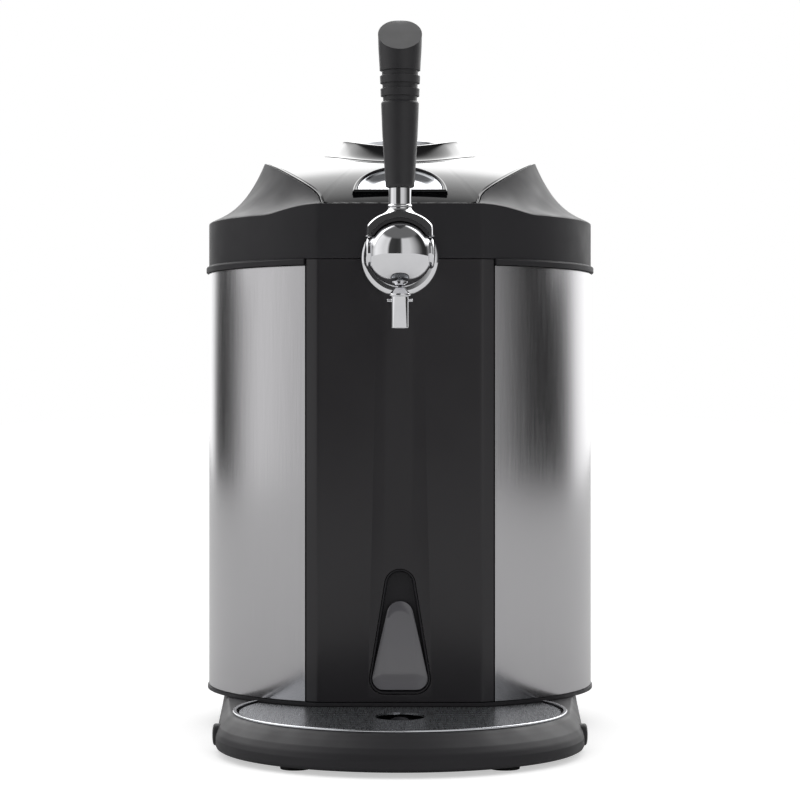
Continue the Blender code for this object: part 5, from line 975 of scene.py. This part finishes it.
start = math.asin(NECK / BALL)
polar = np.linspace(0, math.pi - start, 60)
profile = np.stack((BALL * np.sin(polar), TAP_Y - BALL * np.cos(polar)), axis=1).tolist()
profile += [(NECK, TAP_Y + BALL * math.cos(start) + 0.0006), (NECK, -0.1252)]
profile += [(SHANK, -0.1252), (SHANK, -0.1530), (0, -0.1530)]
ball = turned("tap_ball", profile, 0, (0, 0, TAP_HEIGHT), "Y", 160, False)
BOSS = ((0, 0.015), (0.0095, 0.015), (0.0095, 0.0197), (0.0080, 0.0210), (0, 0.0217))
for way in (-1, 1):
    profile = [(radius, way * reach) for radius, reach in BOSS]
    boss = turned("pivot_boss", profile, (0, 0, 0.0006, 0.0040, 0), (0, TAP_Y, TAP_HEIGHT), "X", 96, False)
    ball = cut_out(ball, boss, sharp=24, operation="UNION")
dress(ball, "chrome_plated_brass", "tap_body")

profile = (
    (0, 0.2875), (0.0028, 0.2875), (0.0062, 0.2838), (0.0068, 0.2834), (0.0068, 0.2820),
    (0.0055, 0.2818), (0.0055, 0.2624), (0.0040, 0.2624), (0.0040, 0.2800), (0, 0.2800),
)
radii = (0, 0.0008, 0.0003, 0.0004, 0.0004, 0.0003, 0.0004, 0.0004, 0.0005, 0)
spout = turned("spout_tube", profile, radii, (0, TAP_Y, 0), sides=96, loop=False)
dress(spout, "chrome_plated_brass", "tap_spout")
profile = ((0, -0.0078), (0.0010, -0.0078), (0.0010, 0.0078), (0, 0.0078))
pin = turned("spout_cross_pin", profile, (0, 0.0004, 0.0004, 0), (0, TAP_Y, 0.2793), "X", 32, False)
dress(pin, "chrome_plated_brass", "spout_pin")

# %% Arch, ferrule and handle
LIP_RISE, YOKE, YOKE_WALL, HALF_DEPTH = 0.0103, 0.0212, 0.0016, 0.0085
shoulder = math.hypot(YOKE - YOKE_WALL, LIP_RISE + YOKE_WALL)
first = math.atan2(LIP_RISE + YOKE_WALL, YOKE - YOKE_WALL)
# The arch's outline as shares of its half width and of its rise above the lip
outside = np.array((
    (1, 0), (1, 0.29), (0.955, 0.41), (0.74, 0.66), (0.43, 0.83), (0.345, 0.93), (0.335, 1), (0, 1),
))
outside = outside * (YOKE, 0.0175) + (0, LIP_RISE)
dome = np.linspace(first, math.pi / 2, 24)
profile = np.concatenate((
    rounded(outside[::-1], (0, 0.0003, 0.0012, 0.0030, 0.0040, 0.0030, 0.0030, 0.0004)),
    [(YOKE - YOKE_WALL, LIP_RISE)],
    np.stack((shoulder * np.cos(dome), shoulder * np.sin(dome)), axis=1),
))
cap = turned("yoke_arch", profile, 0, (0, TAP_Y, TAP_HEIGHT), sides=160, loop=False)


def arch_block():
    """The part of the cap that is kept: a slab 17 mm deep, which turns the cap into an arch."""
    near, far, wide = TAP_Y - HALF_DEPTH, TAP_Y + HALF_DEPTH, 0.03
    square = np.array(((-wide, near), (wide, near), (wide, far), (-wide, far)))
    return extruded("slab", square, ((TAP_HEIGHT, 0), (0.345, 0)))


def eased(piece, width):
    """A fine bevel on the sharp edges, because no pressed or plated edge is truly sharp."""
    bevel = piece.modifiers.new("eased edges", "BEVEL")
    bevel.width = width
    bevel.segments = 3
    bevel.angle_limit = math.radians(38)
    bevel.harden_normals = True
    return piece


arch = eased(cut_out(cap, arch_block(), sharp=30, operation="INTERSECT"), 0.0005)
dress(arch, "chrome_plated_brass", "tap_yoke")
low_dome = np.linspace(math.asin(LIP_RISE / (BALL + 0.0006)), math.pi / 2, 24)
profile = np.concatenate((
    np.stack(((shoulder - 0.0003) * np.cos(dome[::-1]), (shoulder - 0.0003) * np.sin(dome[::-1])), axis=1),
    [(YOKE - YOKE_WALL - 0.0003, LIP_RISE)],
    np.stack(((BALL + 0.0006) * np.cos(low_dome), (BALL + 0.0006) * np.sin(low_dome)), axis=1),
))
liner = turned("yoke_sleeve", profile, 0, (0, TAP_Y, TAP_HEIGHT), sides=160, loop=False)
dress(cut_out(liner, arch_block(), sharp=30, operation="INTERSECT"), "handle_soft_black", "yoke_liner")

profile = ((0, 0.3365), (0.0075, 0.3365), (0.0075, 0.3374), (0.0069, 0.3380), (0.0069, 0.3482), (0, 0.3482))
radii = (0, 0.0003, 0.0003, 0.0004, 0.0003, 0)
ferrule = turned("handle_sleeve", profile, radii, (0, TAP_Y, 0), sides=96, loop=False)
dress(ferrule, "chrome_plated_brass", "handle_ferrule")

HANDLE_BOTTOM, HANDLE_TOP, HANDLE_RADIUS, SLANT = 0.3485, 0.4535, 0.0135, math.radians(39)
# Share of the height and share of the full radius
section = np.array((
    (0, 0.60), (0.004, 0.64), (0.015, 0.662), (0.08, 0.69), (0.30, 0.80), (0.52, 0.87), (0.70, 0.93),
    (0.82, 0.985), (0.92, 1.0), (1.0, 1.0),
))
# Shares of the height with a row of points, closest together at the three grooves
up = np.unique(np.concatenate((
    np.linspace(0, 0.02, 9), np.linspace(0.02, 0.5, 50), np.linspace(0.5, 0.69, 120),
    np.linspace(0.69, 1.0, 70),
)))
wide = np.interp(up, section[:, 0], section[:, 1])
wide[12:-12] = np.convolve(wide, np.ones(9) / 9, "same")[12:-12]
radius = wide * HANDLE_RADIUS
height = HANDLE_BOTTOM + up * (HANDLE_TOP - HANDLE_BOTTOM)
GROOVE_HALF, GROOVE_DEPTH = 0.0017, 0.0013
for share in (0.665, 0.590, 0.515):
    away = (height - HANDLE_BOTTOM - share * (HANDLE_TOP - HANDLE_BOTTOM)) / GROOVE_HALF
    radius = radius - GROOVE_DEPTH * np.clip(1.6 - 1.6 * away**4, 0, 1)
cover = [(radius[-1] * share, HANDLE_TOP) for share in (0.9, 0.75, 0.55, 0.3, 0)]
profile = np.concatenate(([(0, HANDLE_BOTTOM)], np.stack((radius, height), axis=1), cover))
angle = np.arange(144) / 144 * TURN
across = profile[:, 0, None] * np.cos(angle)
along = profile[:, 0, None] * np.sin(angle)
plane = HANDLE_TOP - (HANDLE_RADIUS - along) * math.tan(SLANT)
gap = profile[:, 1, None] - plane
# Smooth minimum of the turned height and the slanted plane: h - (g + sqrt(g^2 + s^2)) / 2
rise = profile[:, 1, None] - (gap + np.sqrt(gap**2 + 0.0012**2)) / 2
handle = skin("tap_grip", np.stack((across, along + TAP_Y, rise), axis=-1), sharp=50)
dress(handle, "handle_soft_black", "tap_handle")

# %% [markdown]
# ## The floor
# The floor is white studio paper, which keeps the machine's soft shadow. Real paper is
# overexposed in such a picture, so for the camera alone it has an even glow added.

# %% Floor
floor_mesh = bpy.data.meshes.new("floor")
floor_mesh.from_pydata([(-4, -4, 0), (4, -4, 0), (4, 60, 0), (-4, 60, 0)], [], [(0, 1, 2, 3)])
floor = bpy.data.objects.new("floor", floor_mesh)
bpy.context.scene.collection.objects.link(floor)
# Uncoated white paper, with fibres of about 1 mm that tint it very slightly
PAPER, tree, shader, place = new_finish("white_studio_paper")
fibre = add(tree, "ShaderNodeTexNoise", {"Vector": place, "Scale": 900.0, "Detail": 2.0})
tint = add(
    tree, "ShaderNodeMix", {0: fibre.outputs["Fac"], 6: linear("#e4e4e4"), 7: linear("#e9e9e9")},
    data_type="RGBA",
)
tree.links.new(tint.outputs[2], shader.inputs["Base Color"])
shader.inputs["Roughness"].default_value = 0.9
shader.inputs["Specular IOR Level"].default_value = 0.0
path = add(tree, "ShaderNodeLightPath")
glow = add(tree, "ShaderNodeMath", {0: path.outputs["Is Camera Ray"], 1: 0.5}, operation="MULTIPLY")
shader.inputs["Emission Color"].default_value = WHITE
tree.links.new(glow.outputs[0], shader.inputs["Emission Strength"])
floor.data.materials.append(PAPER)
